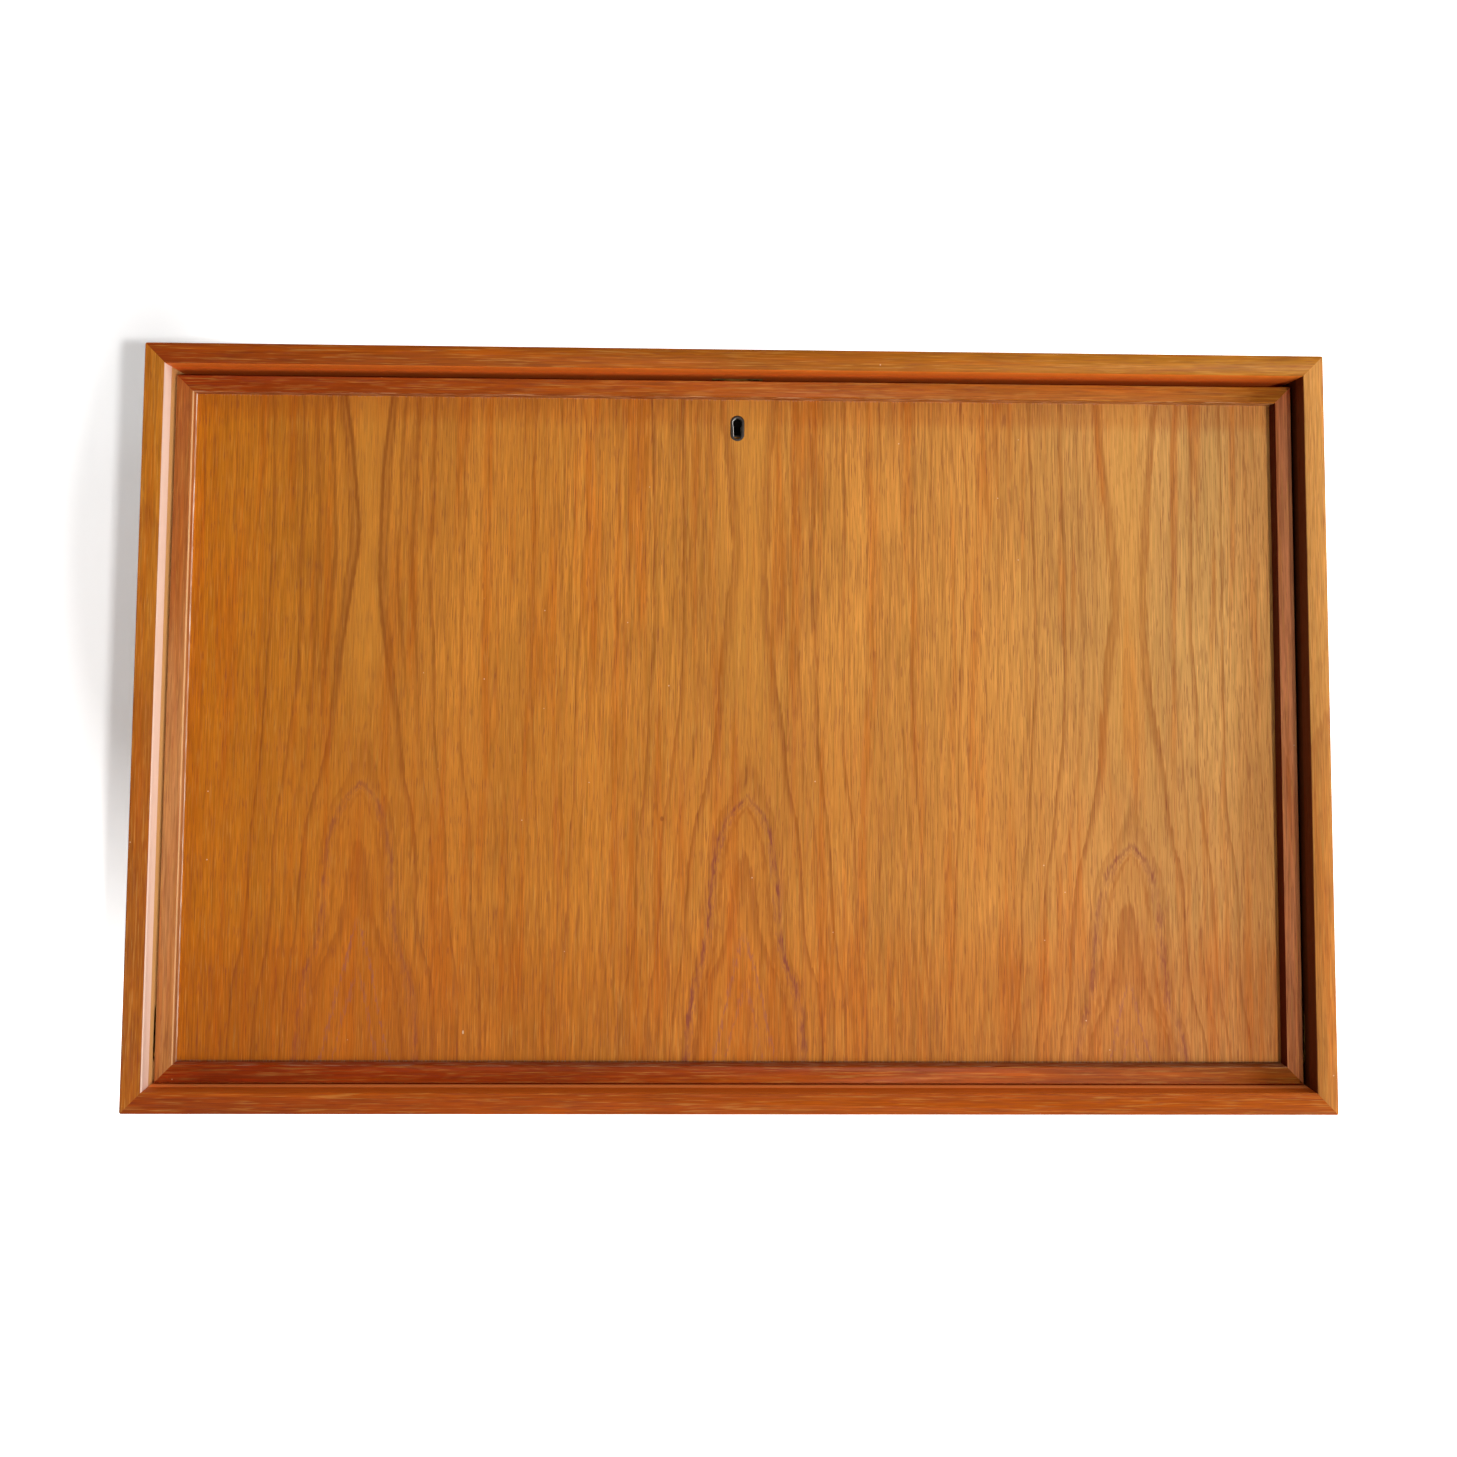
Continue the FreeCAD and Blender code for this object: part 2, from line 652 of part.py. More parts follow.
def escutcheon_block(y, play=0):
    """The escutcheon's upright outline with round ends, between two Y limits."""
    radius = ESCUTCHEON_WIDTH / 2 + play
    top = escutcheon_top_z - ESCUTCHEON_WIDTH / 2
    bottom = escutcheon_bottom_z + ESCUTCHEON_WIDTH / 2
    ends = [rod(Vector(0, y[0], z), Vector(0, y[1], z), radius * 2) for z in (bottom, top)]
    return ends[0].multiFuse([ends[1], box((-radius, radius), y, (bottom, top))]).removeSplitter()


def keyhole_escutcheon():
    """A metal lining let into the panel, a little proud of it, with a bevelled rim."""
    y = (panel_front_y - ESCUTCHEON_PROUD, housing_front_y - LETTING_IN)
    block = escutcheon_block(y)
    rim = [e for e in block.Edges if all(level(v.Point.y, y[0]) for v in e.Vertexes)]
    block = block.makeChamfer(ESCUTCHEON_ARRIS, rim)
    return block.cut(keyhole((y[0] - OVERRUN, y[1] + OVERRUN)))


def lock_screws():
    """The two screws through the lock's plate, beside its housing, and their holes."""
    x = (LOCK_PLATE_WIDTH + LOCK_HOUSING_WIDTH) / 4
    heads = [Vector(side * x, flap_inner_y, key_z) for side in (-1, 1)]
    return screws(heads, Vector(0, -1, 0))


def lock_plate():
    """The plate flush with the flap's inner face, turned over its top edge round the bolt."""
    back = lock_block(LOCK_PLATE_WIDTH, LOCK_PLATE_HEIGHT, (lock_y, flap_inner_y))
    edge = box(
        (-LOCK_PLATE_WIDTH / 2, LOCK_PLATE_WIDTH / 2),
        (housing_front_y, flap_inner_y),
        (flap_top_z - LOCK_PLATE_THICKNESS, flap_top_z),
    )
    half_x = BOLT_WIDTH / 2 + FIT
    half_y = BOLT_THICKNESS / 2 + FIT
    slot = box(
        (-half_x, half_x),
        (bolt_y - half_y, bolt_y + half_y),
        (flap_top_z - LOCK_PLATE_THICKNESS - OVERRUN, flap_top_z + OVERRUN),
    )
    return cut_all(back.fuse(edge).removeSplitter(), [slot, *lock_screws()[1]])


def lock_housing():
    """The lock's box: closed in front and round its sides, open to the plate, with the keyhole."""
    half = LOCK_HOUSING_WIDTH / 2
    top = flap_top_z - LOCK_PLATE_THICKNESS
    shell = box((-half, half), (housing_front_y, lock_y), (housing_bottom_z, top))
    room = box(
        (-half + LOCK_WALL, half - LOCK_WALL),
        (housing_front_y + LOCK_WALL, lock_y + OVERRUN),
        (housing_bottom_z + LOCK_WALL, top + OVERRUN),
    )
    key_way = keyhole((housing_front_y - OVERRUN, housing_front_y + LOCK_WALL + OVERRUN))
    return cut_all(shell, [room, key_way])


def lock_bolt():
    """The bolt: a head in the flap's top edge, and a leg beside the key with a notch for its bit."""
    head = BOLT_WIDTH / 2
    shoulder_top = flap_top_z - BOLT_HEAD_HEIGHT + BOLT_SHOULDER_HEIGHT
    shoulder_bottom = flap_top_z - BOLT_HEAD_HEIGHT
    leg_inner = BOLT_LEG_FROM_KEY
    leg_outer = BOLT_LEG_FROM_KEY + BOLT_LEG_WIDTH
    leg_bottom = key_z - BOLT_LEG_BELOW_KEY
    notch_top = key_z + BOLT_NOTCH_HEIGHT / 2
    notch_bottom = key_z - BOLT_NOTCH_HEIGHT / 2
    notch_x = leg_inner + BOLT_NOTCH_DEPTH
    outline = [
        (-head, flap_top_z),
        (head, flap_top_z),
        (head, shoulder_top),
        (leg_outer, shoulder_top),
        (leg_outer, leg_bottom),
        (leg_inner, leg_bottom),
        (leg_inner, notch_bottom),
        (notch_x, notch_bottom),
        (notch_x, notch_top),
        (leg_inner, notch_top),
        (leg_inner, shoulder_bottom),
        (-head, shoulder_bottom),
    ]
    points = [Vector(x, 0, z) for x, z in outline]
    start = Vector(0, bolt_y - BOLT_THICKNESS / 2, 0)
    return prism(points, start, Vector(0, BOLT_THICKNESS, 0))


def lock_spring():
    """A bowed leaf that stands in the housing and bears on the side of the bolt's head."""
    foot_x = -LOCK_HOUSING_WIDTH / 2 + LOCK_WALL + SPRING_FROM_WALL
    foot = Vector(foot_x, 0, housing_bottom_z + LOCK_WALL)
    tip = Vector(-BOLT_WIDTH / 2 - LETTING_IN - SPRING_THICKNESS, 0, flap_top_z - BOLT_HEAD_HEIGHT * 2 / 3)
    along = (tip - foot).normalize()
    side = Vector(along.z, 0, -along.x)
    middle = (foot + tip) / 2 - side * SPRING_BOW
    thick = side * SPRING_THICKNESS
    outline = Part.Wire(
        [
            Part.Arc(foot, middle, tip).toShape(),
            Part.LineSegment(tip, tip + thick).toShape(),
            Part.Arc(tip + thick, middle + thick, foot + thick).toShape(),
            Part.LineSegment(foot + thick, foot).toShape(),
        ]
    )
    outline.translate(Vector(0, bolt_y - BOLT_THICKNESS / 2, 0))
    leaf = Part.Face(outline).extrude(Vector(0, BOLT_THICKNESS, 0))
    floor = box(
        (-LOCK_HOUSING_WIDTH / 2, 0),
        (lock_y - LOCK_HOUSING_DEPTH, lock_y),
        (housing_bottom_z, housing_bottom_z + LOCK_WALL),
    )
    return leaf.cut(floor)


def board(x, z, front=interior_front_y):
    """A board of the fitted interior, with the two long arrises of its front edge taken off."""
    made = box(x, (front, back_panel_front_y), z)
    wide = x[1] - x[0] > z[1] - z[0]
    way = Vector(1, 0, 0) if wide else Vector(0, 0, 1)
    return made.makeChamfer(INNER_ARRIS, edges_along(made, way, lambda p: level(p.y, front)))


def housing(x, z, front=interior_front_y):
    """The groove that a board of these limits needs where it enters another."""
    y = (front - FIT, back_panel_front_y + OVERRUN)
    return box((x[0] - FIT, x[1] + FIT), y, (z[0] - FIT, z[1] + FIT))


def interior():
    """The boards of pigeonholes, letter slots and upper bays, by name.

    Shelves and dividers enter their neighbours by the depth of a housing and are glued there.
    """
    half = INNER_BOARD / 2
    third = bay_x / 3
    entered = HOUSING_DEPTH
    shelf_z = upper_floor_z + (inner_z - upper_floor_z) * UPPER_SHELF_HEIGHT_SHARE
    letter_front = interior_front_y + LETTER_BOARD_SETBACK
    high = (bed_top_z, inner_z)
    low = (bed_top_z, pigeonhole_top_z + entered)
    places = {
        "inner_side_right": ((bay_x, interior_x), high),
        "inner_side_left": ((-interior_x, -bay_x), high),
        "pigeonhole_shelf": ((-bay_x - entered, bay_x + entered), (pigeonhole_top_z, upper_floor_z)),
        "upper_divider": ((-half, half), (upper_floor_z - entered, inner_z)),
        "upper_shelf": ((half - entered, bay_x + entered), (shelf_z - half, shelf_z + half)),
    }
    for name, side in (("left", -1), ("right", 1)):
        middle = side * third
        places["pigeonhole_divider_" + name] = ((middle - half, middle + half), low)
        thin = LETTER_BOARD / 2
        places["letter_divider_" + name] = ((middle / 3 - thin, middle / 3 + thin), low, letter_front)

    made = {name: board(*place) for name, place in places.items()}
    hosts = {
        "inner_side_right": ("pigeonhole_shelf", "upper_shelf"),
        "inner_side_left": ("pigeonhole_shelf",),
        "upper_divider": ("upper_shelf",),
        "pigeonhole_shelf": [name for name in places if "divider" in name],
    }
    for host, guests in hosts.items():
        made[host] = cut_all(made[host], [housing(*places[guest]) for guest in guests])
    return made


def buffers():
    """Two felt discs on the stop rail, where the shut flap meets it."""
    z = (inner_z - STOP_RAIL_HEIGHT + flap_top_z) / 2
    discs = []
    for side in (-1, 1):
        start = Vector(side * CASE_WIDTH / 2 * BUFFER_SPACING_SHARE, stop_front_y, z)
        discs.append(rod(start, start - Vector(0, BUFFER_THICKNESS, 0), BUFFER_DIAMETER))
    return discs


def case():
    """The case: boards, front strips, tongues, back panel, rails, bed and stop rail, by name."""
    whole_x = (-CASE_WIDTH / 2, CASE_WIDTH / 2)
    whole_z = (-CASE_HEIGHT / 2, CASE_HEIGHT / 2)
    boards = mitred_frame(whole_x, (board_front_y, 0), whole_z, BOARD, corner=CORNER_ROUND)
    strips = mitred_frame(
        whole_x, (front_y, board_front_y), whole_z, BOARD, arris=ARRIS, corner=CORNER_ROUND
    )
    grooves = [back_panel_block(FIT), *corner_splines(FIT)]
    plate_bed = hinge_outline((inner_x - OVERRUN, inner_x + HINGE_PLATE_THICKNESS), FIT)
    side_cuts = [plate_bed, stud_hole(), *screws(hinge_screw_heads(inner_x), Vector(1, 0, 0))[1]]
    made = {
        "case_top": cut_all(boards["top"], [*grooves, *strike_mortise(), *strike_screws()[1]]),
        "case_bottom": cut_all(boards["bottom"], grooves),
        "case_side_right": cut_all(boards["right"], [*grooves, *side_cuts]),
        "case_side_left": cut_all(boards["left"], [*grooves, *map(mirrored, side_cuts)]),
        "corner_splines": Part.makeCompound(corner_splines()),
        "back_panel": cut_all(back_panel_block(), wall_holes()),
    }
    for side, strip in strips.items():
        made["lipping_" + side] = strip

    across = (-inner_x, inner_x)
    rail_y = (back_panel_rear_y, 0)
    rail_z = {"top": (inner_z - RAIL_HEIGHT, inner_z), "bottom": (-inner_z, RAIL_HEIGHT - inner_z)}
    for side, z in rail_z.items():
        made["hanging_rail_" + side] = cut_all(box(across, rail_y, z), wall_holes())

    made["bed_nose"], board_y = bed_nose()
    made["writing_bed"] = box(across, (board_y, back_panel_front_y), (bed_bottom_z, bed_top_z))
    under = (-inner_z, bed_bottom_z)
    rail_front_y = axis_y + swing_radius
    rear_rail_y = back_panel_front_y - BED_RAIL_THICKNESS
    made["bed_front_rail"] = box(across, (rail_front_y, rail_front_y + BED_RAIL_THICKNESS), under)
    made["bed_rear_rail"] = box(across, (rear_rail_y, back_panel_front_y), under)

    stop_y = (stop_front_y, stop_front_y + STOP_RAIL_THICKNESS)
    made["stop_rail"] = box(across, stop_y, (inner_z - STOP_RAIL_HEIGHT, inner_z))
    made["felt_buffers"] = Part.makeCompound(buffers())
    made["strike_plate"] = strike_plate()
    return made


def flap():
    """The flap: mitred rim, panel, escutcheon and lock, by name."""
    rim = mitred_frame(
        (-flap_x, flap_x), (rim_front_y, flap_inner_y), (flap_bottom_z, flap_top_z), RIM_WIDTH, arris=ARRIS
    )
    leaf_bed = hinge_outline((flap_x - HINGE_PLATE_THICKNESS, flap_x + OVERRUN), FIT)
    end_cuts = [leaf_bed, *screws(hinge_screw_heads(flap_x), Vector(-1, 0, 0))[1]]
    bracket_holes = screws(bracket_screw_heads(), Vector(0, -1, 0))[1]
    lock_cuts = [*lock_pocket(), *lock_screws()[1]]
    panel = box(
        (-panel_x, panel_x),
        (panel_front_y, flap_inner_y),
        (flap_bottom_z + RIM_WIDTH, flap_top_z - RIM_WIDTH),
    )
    lining_hole = escutcheon_block((panel_front_y - OVERRUN, housing_front_y + OVERRUN), FIT)
    panel_cuts = [lining_hole, *lock_cuts, *bracket_holes, *map(mirrored, bracket_holes)]
    side_cuts = [*end_cuts, *bracket_holes]
    return {
        "flap_panel": cut_all(panel, [*panel_cuts, *end_cuts, *map(mirrored, end_cuts)]),
        "flap_rim_top": cut_all(rim["top"], lock_cuts),
        "flap_rim_bottom": cut_all(rim["bottom"], [*end_cuts, *map(mirrored, end_cuts)]),
        "flap_rim_right": cut_all(rim["right"], side_cuts),
        "flap_rim_left": cut_all(rim["left"], list(map(mirrored, side_cuts))),
        "keyhole_escutcheon": keyhole_escutcheon(),
        "lock_housing": lock_housing(),
        "lock_plate": lock_plate(),
        "lock_spring": lock_spring(),
        "lock_bolt": lock_bolt(),
    }


def hardware():
    """Hinges, stays and the screws of case and flap, by name."""
    made = {}
    right = {
        "hinge_plate": hinge_plate_right(),
        "hinge_leaf": hinge_leaf_right(),
        "stay_arm": stay_arm_right(),
        "stay_stud": stay_stud_right(),
        "stay_bracket": stay_bracket_right(),
    }
    for name, shape in right.items():
        made[name + "_right"] = shape
        made[name + "_left"] = mirrored(shape)

    plate_screws = screws(hinge_screw_heads(inner_x), Vector(1, 0, 0))[0]
    leaf_screws = screws(hinge_screw_heads(flap_x), Vector(-1, 0, 0))[0]
    bracket_screws = screws(bracket_screw_heads(), Vector(0, -1, 0))[0]
    on_case = [*plate_screws, *map(mirrored, plate_screws), *strike_screws()[0]]
    paired = [*leaf_screws, *bracket_screws]
    made["case_screws"] = Part.makeCompound(on_case)
    made["flap_screws"] = Part.makeCompound([*paired, *map(mirrored, paired), *lock_screws()[0]])
    return made


def main():
    """Builds every piece and writes one STEP file for each."""
    os.makedirs("parts", exist_ok=True)
    for name, shape in {**case(), **interior(), **flap(), **hardware()}.items():
        shape.exportStep(os.path.join("parts", name + ".step"))
        print(name, len(shape.Solids), "solids", round(shape.Volume), "mm3", "valid", shape.isValid())
    print("stay pivot", stay_pivot, "stud", stay_stud, "open reach", round(stay_open_reach, 2))


main()
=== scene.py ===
"""Looks of a wall-hung teak desk with a fall flap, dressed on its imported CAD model.

The frame is the CAD's: X to the right, Z up and Y into the wall, in metres, with the origin on the
wall plane.  Boards keep their CAD shapes and get wood drawn for their own grain.  Strips, rims,
shelves and metal fittings are stood for by copies with rounded edges, and the keyhole's lining and
the screws are modelled here.
"""

import json
import logging
import math
from collections.abc import Callable
from dataclasses import dataclass, field
from enum import Enum
from typing import Any, Optional, Union

import bmesh
import bpy
from mathutils import Euler, Matrix, Vector

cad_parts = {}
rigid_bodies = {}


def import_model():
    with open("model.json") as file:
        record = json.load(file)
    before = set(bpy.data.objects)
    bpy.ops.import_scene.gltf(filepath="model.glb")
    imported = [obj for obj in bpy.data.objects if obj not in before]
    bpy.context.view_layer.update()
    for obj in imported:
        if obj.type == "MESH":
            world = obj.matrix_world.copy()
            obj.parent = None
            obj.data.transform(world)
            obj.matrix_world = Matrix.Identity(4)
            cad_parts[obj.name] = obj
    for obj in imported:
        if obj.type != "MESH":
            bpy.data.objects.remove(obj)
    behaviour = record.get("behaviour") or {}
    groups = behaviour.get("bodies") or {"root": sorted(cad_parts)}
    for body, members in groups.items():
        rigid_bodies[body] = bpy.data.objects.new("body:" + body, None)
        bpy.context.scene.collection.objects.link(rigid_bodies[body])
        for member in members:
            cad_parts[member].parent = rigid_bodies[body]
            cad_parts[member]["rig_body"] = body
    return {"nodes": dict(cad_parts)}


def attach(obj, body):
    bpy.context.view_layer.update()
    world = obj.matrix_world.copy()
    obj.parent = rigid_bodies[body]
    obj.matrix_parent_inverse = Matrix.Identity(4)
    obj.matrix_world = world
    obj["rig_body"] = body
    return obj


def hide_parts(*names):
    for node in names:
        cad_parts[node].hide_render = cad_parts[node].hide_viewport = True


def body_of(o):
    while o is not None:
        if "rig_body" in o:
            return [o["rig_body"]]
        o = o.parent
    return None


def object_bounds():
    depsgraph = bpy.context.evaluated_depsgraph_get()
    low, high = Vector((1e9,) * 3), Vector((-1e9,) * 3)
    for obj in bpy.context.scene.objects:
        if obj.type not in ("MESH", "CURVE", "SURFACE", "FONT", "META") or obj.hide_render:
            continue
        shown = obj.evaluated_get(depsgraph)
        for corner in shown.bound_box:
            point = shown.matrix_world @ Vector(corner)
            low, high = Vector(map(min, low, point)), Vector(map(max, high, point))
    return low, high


LOG = logging.getLogger("desk")

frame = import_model()
CAD_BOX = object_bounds()

MM = 0.001

# Inputs of the Mix node when it mixes colours.  The Map Range node's inputs are its value, the two
# ends of its range, and what they become, as 0 to 4.
AMOUNT, UNDER, OVER = 0, 6, 7

# How much of a normal lies along a direction that its face looks in, or is square to
FACING, SQUARE = 0.9, 0.99

Socket = bpy.types.NodeSocket
Number = Union[float, Socket]
Pair = tuple[float, float]
Point = tuple[float, float, float]


def linear(code: str) -> tuple[float, float, float, float]:
    """Turns an sRGB hex colour into linear light.

    Args:
        code: The colour as #rrggbb.

    Returns:
        Red, green and blue, and an alpha of 1.
    """
    channels = []
    for start in (1, 3, 5):
        value = int(code[start : start + 2], 16) / 255
        channels.append(value / 12.92 if value <= 0.04045 else ((value + 0.055) / 1.055) ** 2.4)
    return (*channels, 1.0)


def add(
    tree: bpy.types.NodeTree,
    kind: str,
    inputs: Optional[dict[Union[int, str], Any]] = None,
    **settings: Any,
) -> Socket:
    """Adds a node with its settings and links.

    Args:
        tree: The node tree that it joins.
        kind: The node's type.
        inputs: Values or sockets for its inputs, by index or name.
        settings: The node's own properties.

    Returns:
        The node's first live output, or its first input where it has no output.
    """
    node = tree.nodes.new(kind)
    for name, value in settings.items():
        setattr(node, name, value)
    for key, value in (inputs or {}).items():
        if isinstance(value, Socket):
            tree.links.new(value, node.inputs[key])
        else:
            node.inputs[key].default_value = value
    live = [socket for socket in node.outputs if socket.enabled]
    return live[0] if live else node.inputs[0]


def empty_material(name: str) -> bpy.types.Material:
    """Starts a material.

    Args:
        name: Its name.

    Returns:
        The material, with no nodes.
    """
    material = bpy.data.materials.new(name)
    material.use_nodes = True
    material.node_tree.nodes.clear()
    return material


def own_place(tree: bpy.types.NodeTree) -> Socket:
    """The piece's own coordinates.

    Args:
        tree: The node tree that reads them.

    Returns:
        The coordinates, in millimetres.
    """
    own = add(tree, "ShaderNodeTexCoord").node.outputs["Object"]
    return add(tree, "ShaderNodeMapping", {"Vector": own, "Scale": (1 / MM,) * 3})


class Element(Enum):
    """What a mesh is selected by, as Blender's name for the mode and for the list."""

    VERTEX = ("VERT", "verts")
    EDGE = ("EDGE", "edges")
    FACE = ("FACE", "faces")


def pick(piece: bpy.types.Object, kind: Element, chosen: Callable[[Any], bool]) -> None:
    """Selects what a test chooses of a piece in edit mode, and nothing else.

    Args:
        piece: The piece.
        kind: What is selected.
        chosen: The test for one vertex, edge or face.
    """
    mode, elements = kind.value
    bpy.ops.mesh.select_mode(type=mode)
    bpy.ops.mesh.select_all(action="DESELECT")
    shape = bmesh.from_edit_mesh(piece.data)
    shape.normal_update()
    for element in getattr(shape, elements):
        element.select_set(chosen(element))
    if kind is Element.VERTEX:
        shape.select_flush_mode()
    bmesh.update_edit_mesh(piece.data)


class Grain(Enum):
    """The direction of a piece's fibres, as the turn that brings them upright."""

    ALONG_X = (0.0, math.radians(90), 0.0)
    UPRIGHT = (0.0, 0.0, 0.0)


class Axis(Enum):
    """A direction of the frame, as its place in a vector."""

    X = 0
    Y = 1
    Z = 2


class Ease(Enum):
    """How a change sets in between its two ends."""

    EVEN = "LINEAR"
    SOFT = "SMOOTHSTEP"


@dataclass(frozen=True)
class WearAndPaintedLight:
    """A line of dust or scuffing along an edge, or of painted light and shade on a face or edge: where
    it lies, its width and colour.

    A patchy line is broken up, from 0 for a whole one to 1 for scattered dashes.  One that doesn't
    run right through to the wall ends at its back, a place along Y.
    """

    axis: Axis
    place: float
    width: float
    tone: str
    amount: float = 0.6
    patchy: float = 1.0
    back: float = 0.0


@dataclass(frozen=True)
class Flaw:
    """A knot, chip or scratch on the front: its middle, its half width and height, and its colour."""

    middle: Pair
    size: Pair
    tone: str
    amount: float = 0.8


@dataclass(frozen=True)
class Layer:
    """Marks drawn out along the grain: their width and length in millimetres, and their colour.

    They set in where their noise passes the first value of the span, and are full at the second.
    """

    size: Pair
    span: Pair
    strength: float
    tone: str
    ease: Ease = Ease.SOFT


@dataclass(frozen=True)
class Timber:
    """A wood finish: its colours and the size of its figure, in millimetres.

    The base colour is that of the left end and the other one that of the right end.  The change
    between them is painted light and sheen, set to how the lamps on the right fall across the piece.
    Tints are broad changes of tone under the figure, and lines of dust and scuffing, painted light
    and painted shade lie over it.
    The heart is where the log's middle lies from the piece, and the slope is how fast it comes
    nearer along the grain, which opens the rings into arches.
    """

    name: str
    base: str
    right_with_painted_light: str
    grain: Grain = Grain.ALONG_X
    late: str = "#8a4318"
    warm: str = "#b4560c"
    pore: str = "#78342a"
    thread: str = "#dca350"
    heart: Pair = (37.0, 90.0)
    slope: float = 0.05
    ring: float = 6.5
    ring_depth: float = 0.35
    streak: float = 0.2
    band: float = 0.4
    thread_depth: float = 0.26
    line_depth: float = 0.22
    fleck: float = 0.0
    pore_depth: float = 0.26
    roughness: float = 0.4
    tints: tuple[WearAndPaintedLight, ...] = ()
    wear_and_painted_light: tuple[WearAndPaintedLight, ...] = ()
    flaws: tuple[Flaw, ...] = ()

    def broad(self) -> tuple[Layer, ...]:
        """The dark streaks and warm bands, which lie under the fibres' light and shade.

        Returns:
            The layers, from the lowest.
        """
        return (
            Layer((3.4, 150.0), (0.5, 0.75), self.streak, self.late),
            Layer((11.0, 230.0), (0.5, 0.68), self.band, self.warm),
        )

    def fine(self) -> tuple[Layer, ...]:
        """The pale threads, dark rows of pores and curled flecks, which lie over it.

        A thread or row is about 0.3 mm wide, and is drawn about 1 mm wide to show.

        Returns:
            The layers, from the lowest.
        """
        return (
            Layer((0.9, 26.0), (0.56, 0.7), self.thread_depth, self.thread, Ease.EVEN),
            Layer((1.1, 45.0), (0.55, 0.68), self.line_depth, self.pore),
            Layer((3.5, 24.0), (0.55, 0.72), self.fleck, self.thread),
        )


class WoodFinish:
    """Draws a timber in nodes, from the piece's own coordinates.

    A size is a width across the grain and a length along it, in millimetres, and a span the two
    values of a noise between which something sets in.  Teak's pores are about 0.2 mm wide, and are
    drawn about half a millimetre wide to show.
    """

    half_width: float = 450.0
    drift_size: Pair = (60.0, 240.0)
    sway: float = 14.0
    jag_size: Pair = (1.6, 24.0)
    jag_depth: float = 1.6
    late_span: Pair = (0.6, 0.96)
    cloud_size: Pair = (48.0, 330.0)
    cloud_shades: Pair = (0.86, 1.14)
    fibre_size: Pair = (1.1, 36.0)
    fibre_shades: Pair = (0.7, 1.3)
    shade_span: Pair = (0.25, 0.75)
    pore_size: Pair = (0.8, 14.0)
    pore_span: Pair = (0.58, 0.68)
    patch_size: Pair = (1.6, 17.0)
    patch_span: Pair = (0.46, 0.64)
    back_fade: float = 6.0
    speck_spacing: float = 16.0
    speck_span: Pair = (0.72, 0.74)
    speck_edge: Pair = (0.02, 0.04)
    speck_depth: float = 0.75
    speck_tone: str = "#e8c49a"
    flaw_edge: Pair = (0.6, 1.1)
    pore_matt: float = 0.2
    fibre_relief: float = 0.5
    relief_strength: float = 0.4
    relief_depth: float = 0.1
    oil_ior: float = 1.5
    oil_gloss: float = 0.12

    def __init__(self, timber: Timber) -> None:
        """Starts the material, with coordinates in millimetres and the fibres along Z.

        Args:
            timber: The wood that it draws.
        """
        self.timber = timber
        self.material = empty_material(timber.name)
        self.tree = self.material.node_tree
        self.plain = own_place(self.tree)
        turned = {"Vector": self.plain, "Rotation": timber.grain.value}
        self.grain = add(self.tree, "ShaderNodeMapping", turned)
        self.sides = add(self.tree, "ShaderNodeSeparateXYZ", {0: self.plain}).node.outputs

    def fibres(self, size: Pair, detail: float = 2.0, place: Optional[Socket] = None) -> Socket:
        """A noise drawn out along the grain.

        Args:
            size: The width and length of its grains, in millimetres.
            detail: How many finer layers it has.
            place: The coordinates, or none for the piece's own.

        Returns:
            Its value, a half on average.
        """
        across, along = size
        stretch = (1 / across, 1 / across, 1 / along)
        drawn = add(self.tree, "ShaderNodeMapping", {"Vector": place or self.grain, "Scale": stretch})
        return add(self.tree, "ShaderNodeTexNoise", {"Vector": drawn, "Scale": 1.0, "Detail": detail})

    def log_distance(self) -> tuple[Socket, Socket]:
        """How far each point lay from the middle of the log.

        Returns:
            The distance in millimetres, and the coordinates that the fibres follow.
        """
        tree = self.tree
        across, deep = self.timber.heart
        lean = math.atan(self.timber.slope)
        middle = {"Vector": self.grain, "Location": (-across, -deep, 0.0), "Rotation": (lean, 0.0, 0.0)}
        log = add(tree, "ShaderNodeMapping", middle)
        drift = self.fibres(self.drift_size, 1.0).node.outputs["Color"]
        sway = {0: drift, 1: (self.sway, self.sway, 0.0), 2: log}
        bent = add(tree, "ShaderNodeVectorMath", sway, operation="MULTIPLY_ADD")
        flat = add(tree, "ShaderNodeVectorMath", {0: bent, 1: (1.0, 1.0, 0.0)}, operation="MULTIPLY")
        return add(tree, "ShaderNodeVectorMath", {0: flat}, operation="LENGTH"), self.grain

    def ring_tone(self, tone: Socket, distance: Socket, place: Socket) -> Socket:
        """Lays the year rings over a colour: each darkens slowly outwards and ends sharply.

        Args:
            tone: The colour under them.
            distance: The distance from the log's middle.
            place: The coordinates that the fibres follow.

        Returns:
            The colour with rings.
        """
        timber, tree = self.timber, self.tree
        start, full = self.late_span
        jag = self.fibres(self.jag_size, 1.0, place)
        jagged = add(
            tree, "ShaderNodeMath", {0: jag, 1: self.jag_depth, 2: distance}, operation="MULTIPLY_ADD"
        )
        count = add(tree, "ShaderNodeMath", {0: jagged, 1: timber.ring}, operation="DIVIDE")
        part = add(tree, "ShaderNodeMath", {0: count}, operation="FRACT")
        rise = add(
            tree, "ShaderNodeMapRange", {0: part, 1: start, 2: full}, interpolation_type=Ease.SOFT.value
        )
        fall = add(tree, "ShaderNodeMapRange", {0: part, 1: full, 2: 1.0, 3: timber.ring_depth, 4: 0.0})
        late = add(tree, "ShaderNodeMath", {0: rise, 1: fall}, operation="MULTIPLY")
        number = add(tree, "ShaderNodeMath", {0: count}, operation="FLOOR")
        strength = add(tree, "ShaderNodeTexWhiteNoise", {"W": number}, noise_dimensions="1D")
        amount = add(tree, "ShaderNodeMath", {0: late, 1: strength}, operation="MULTIPLY")
        ringed = {AMOUNT: amount, UNDER: tone, OVER: linear(timber.late)}
        return add(tree, "ShaderNodeMix", ringed, data_type="RGBA")

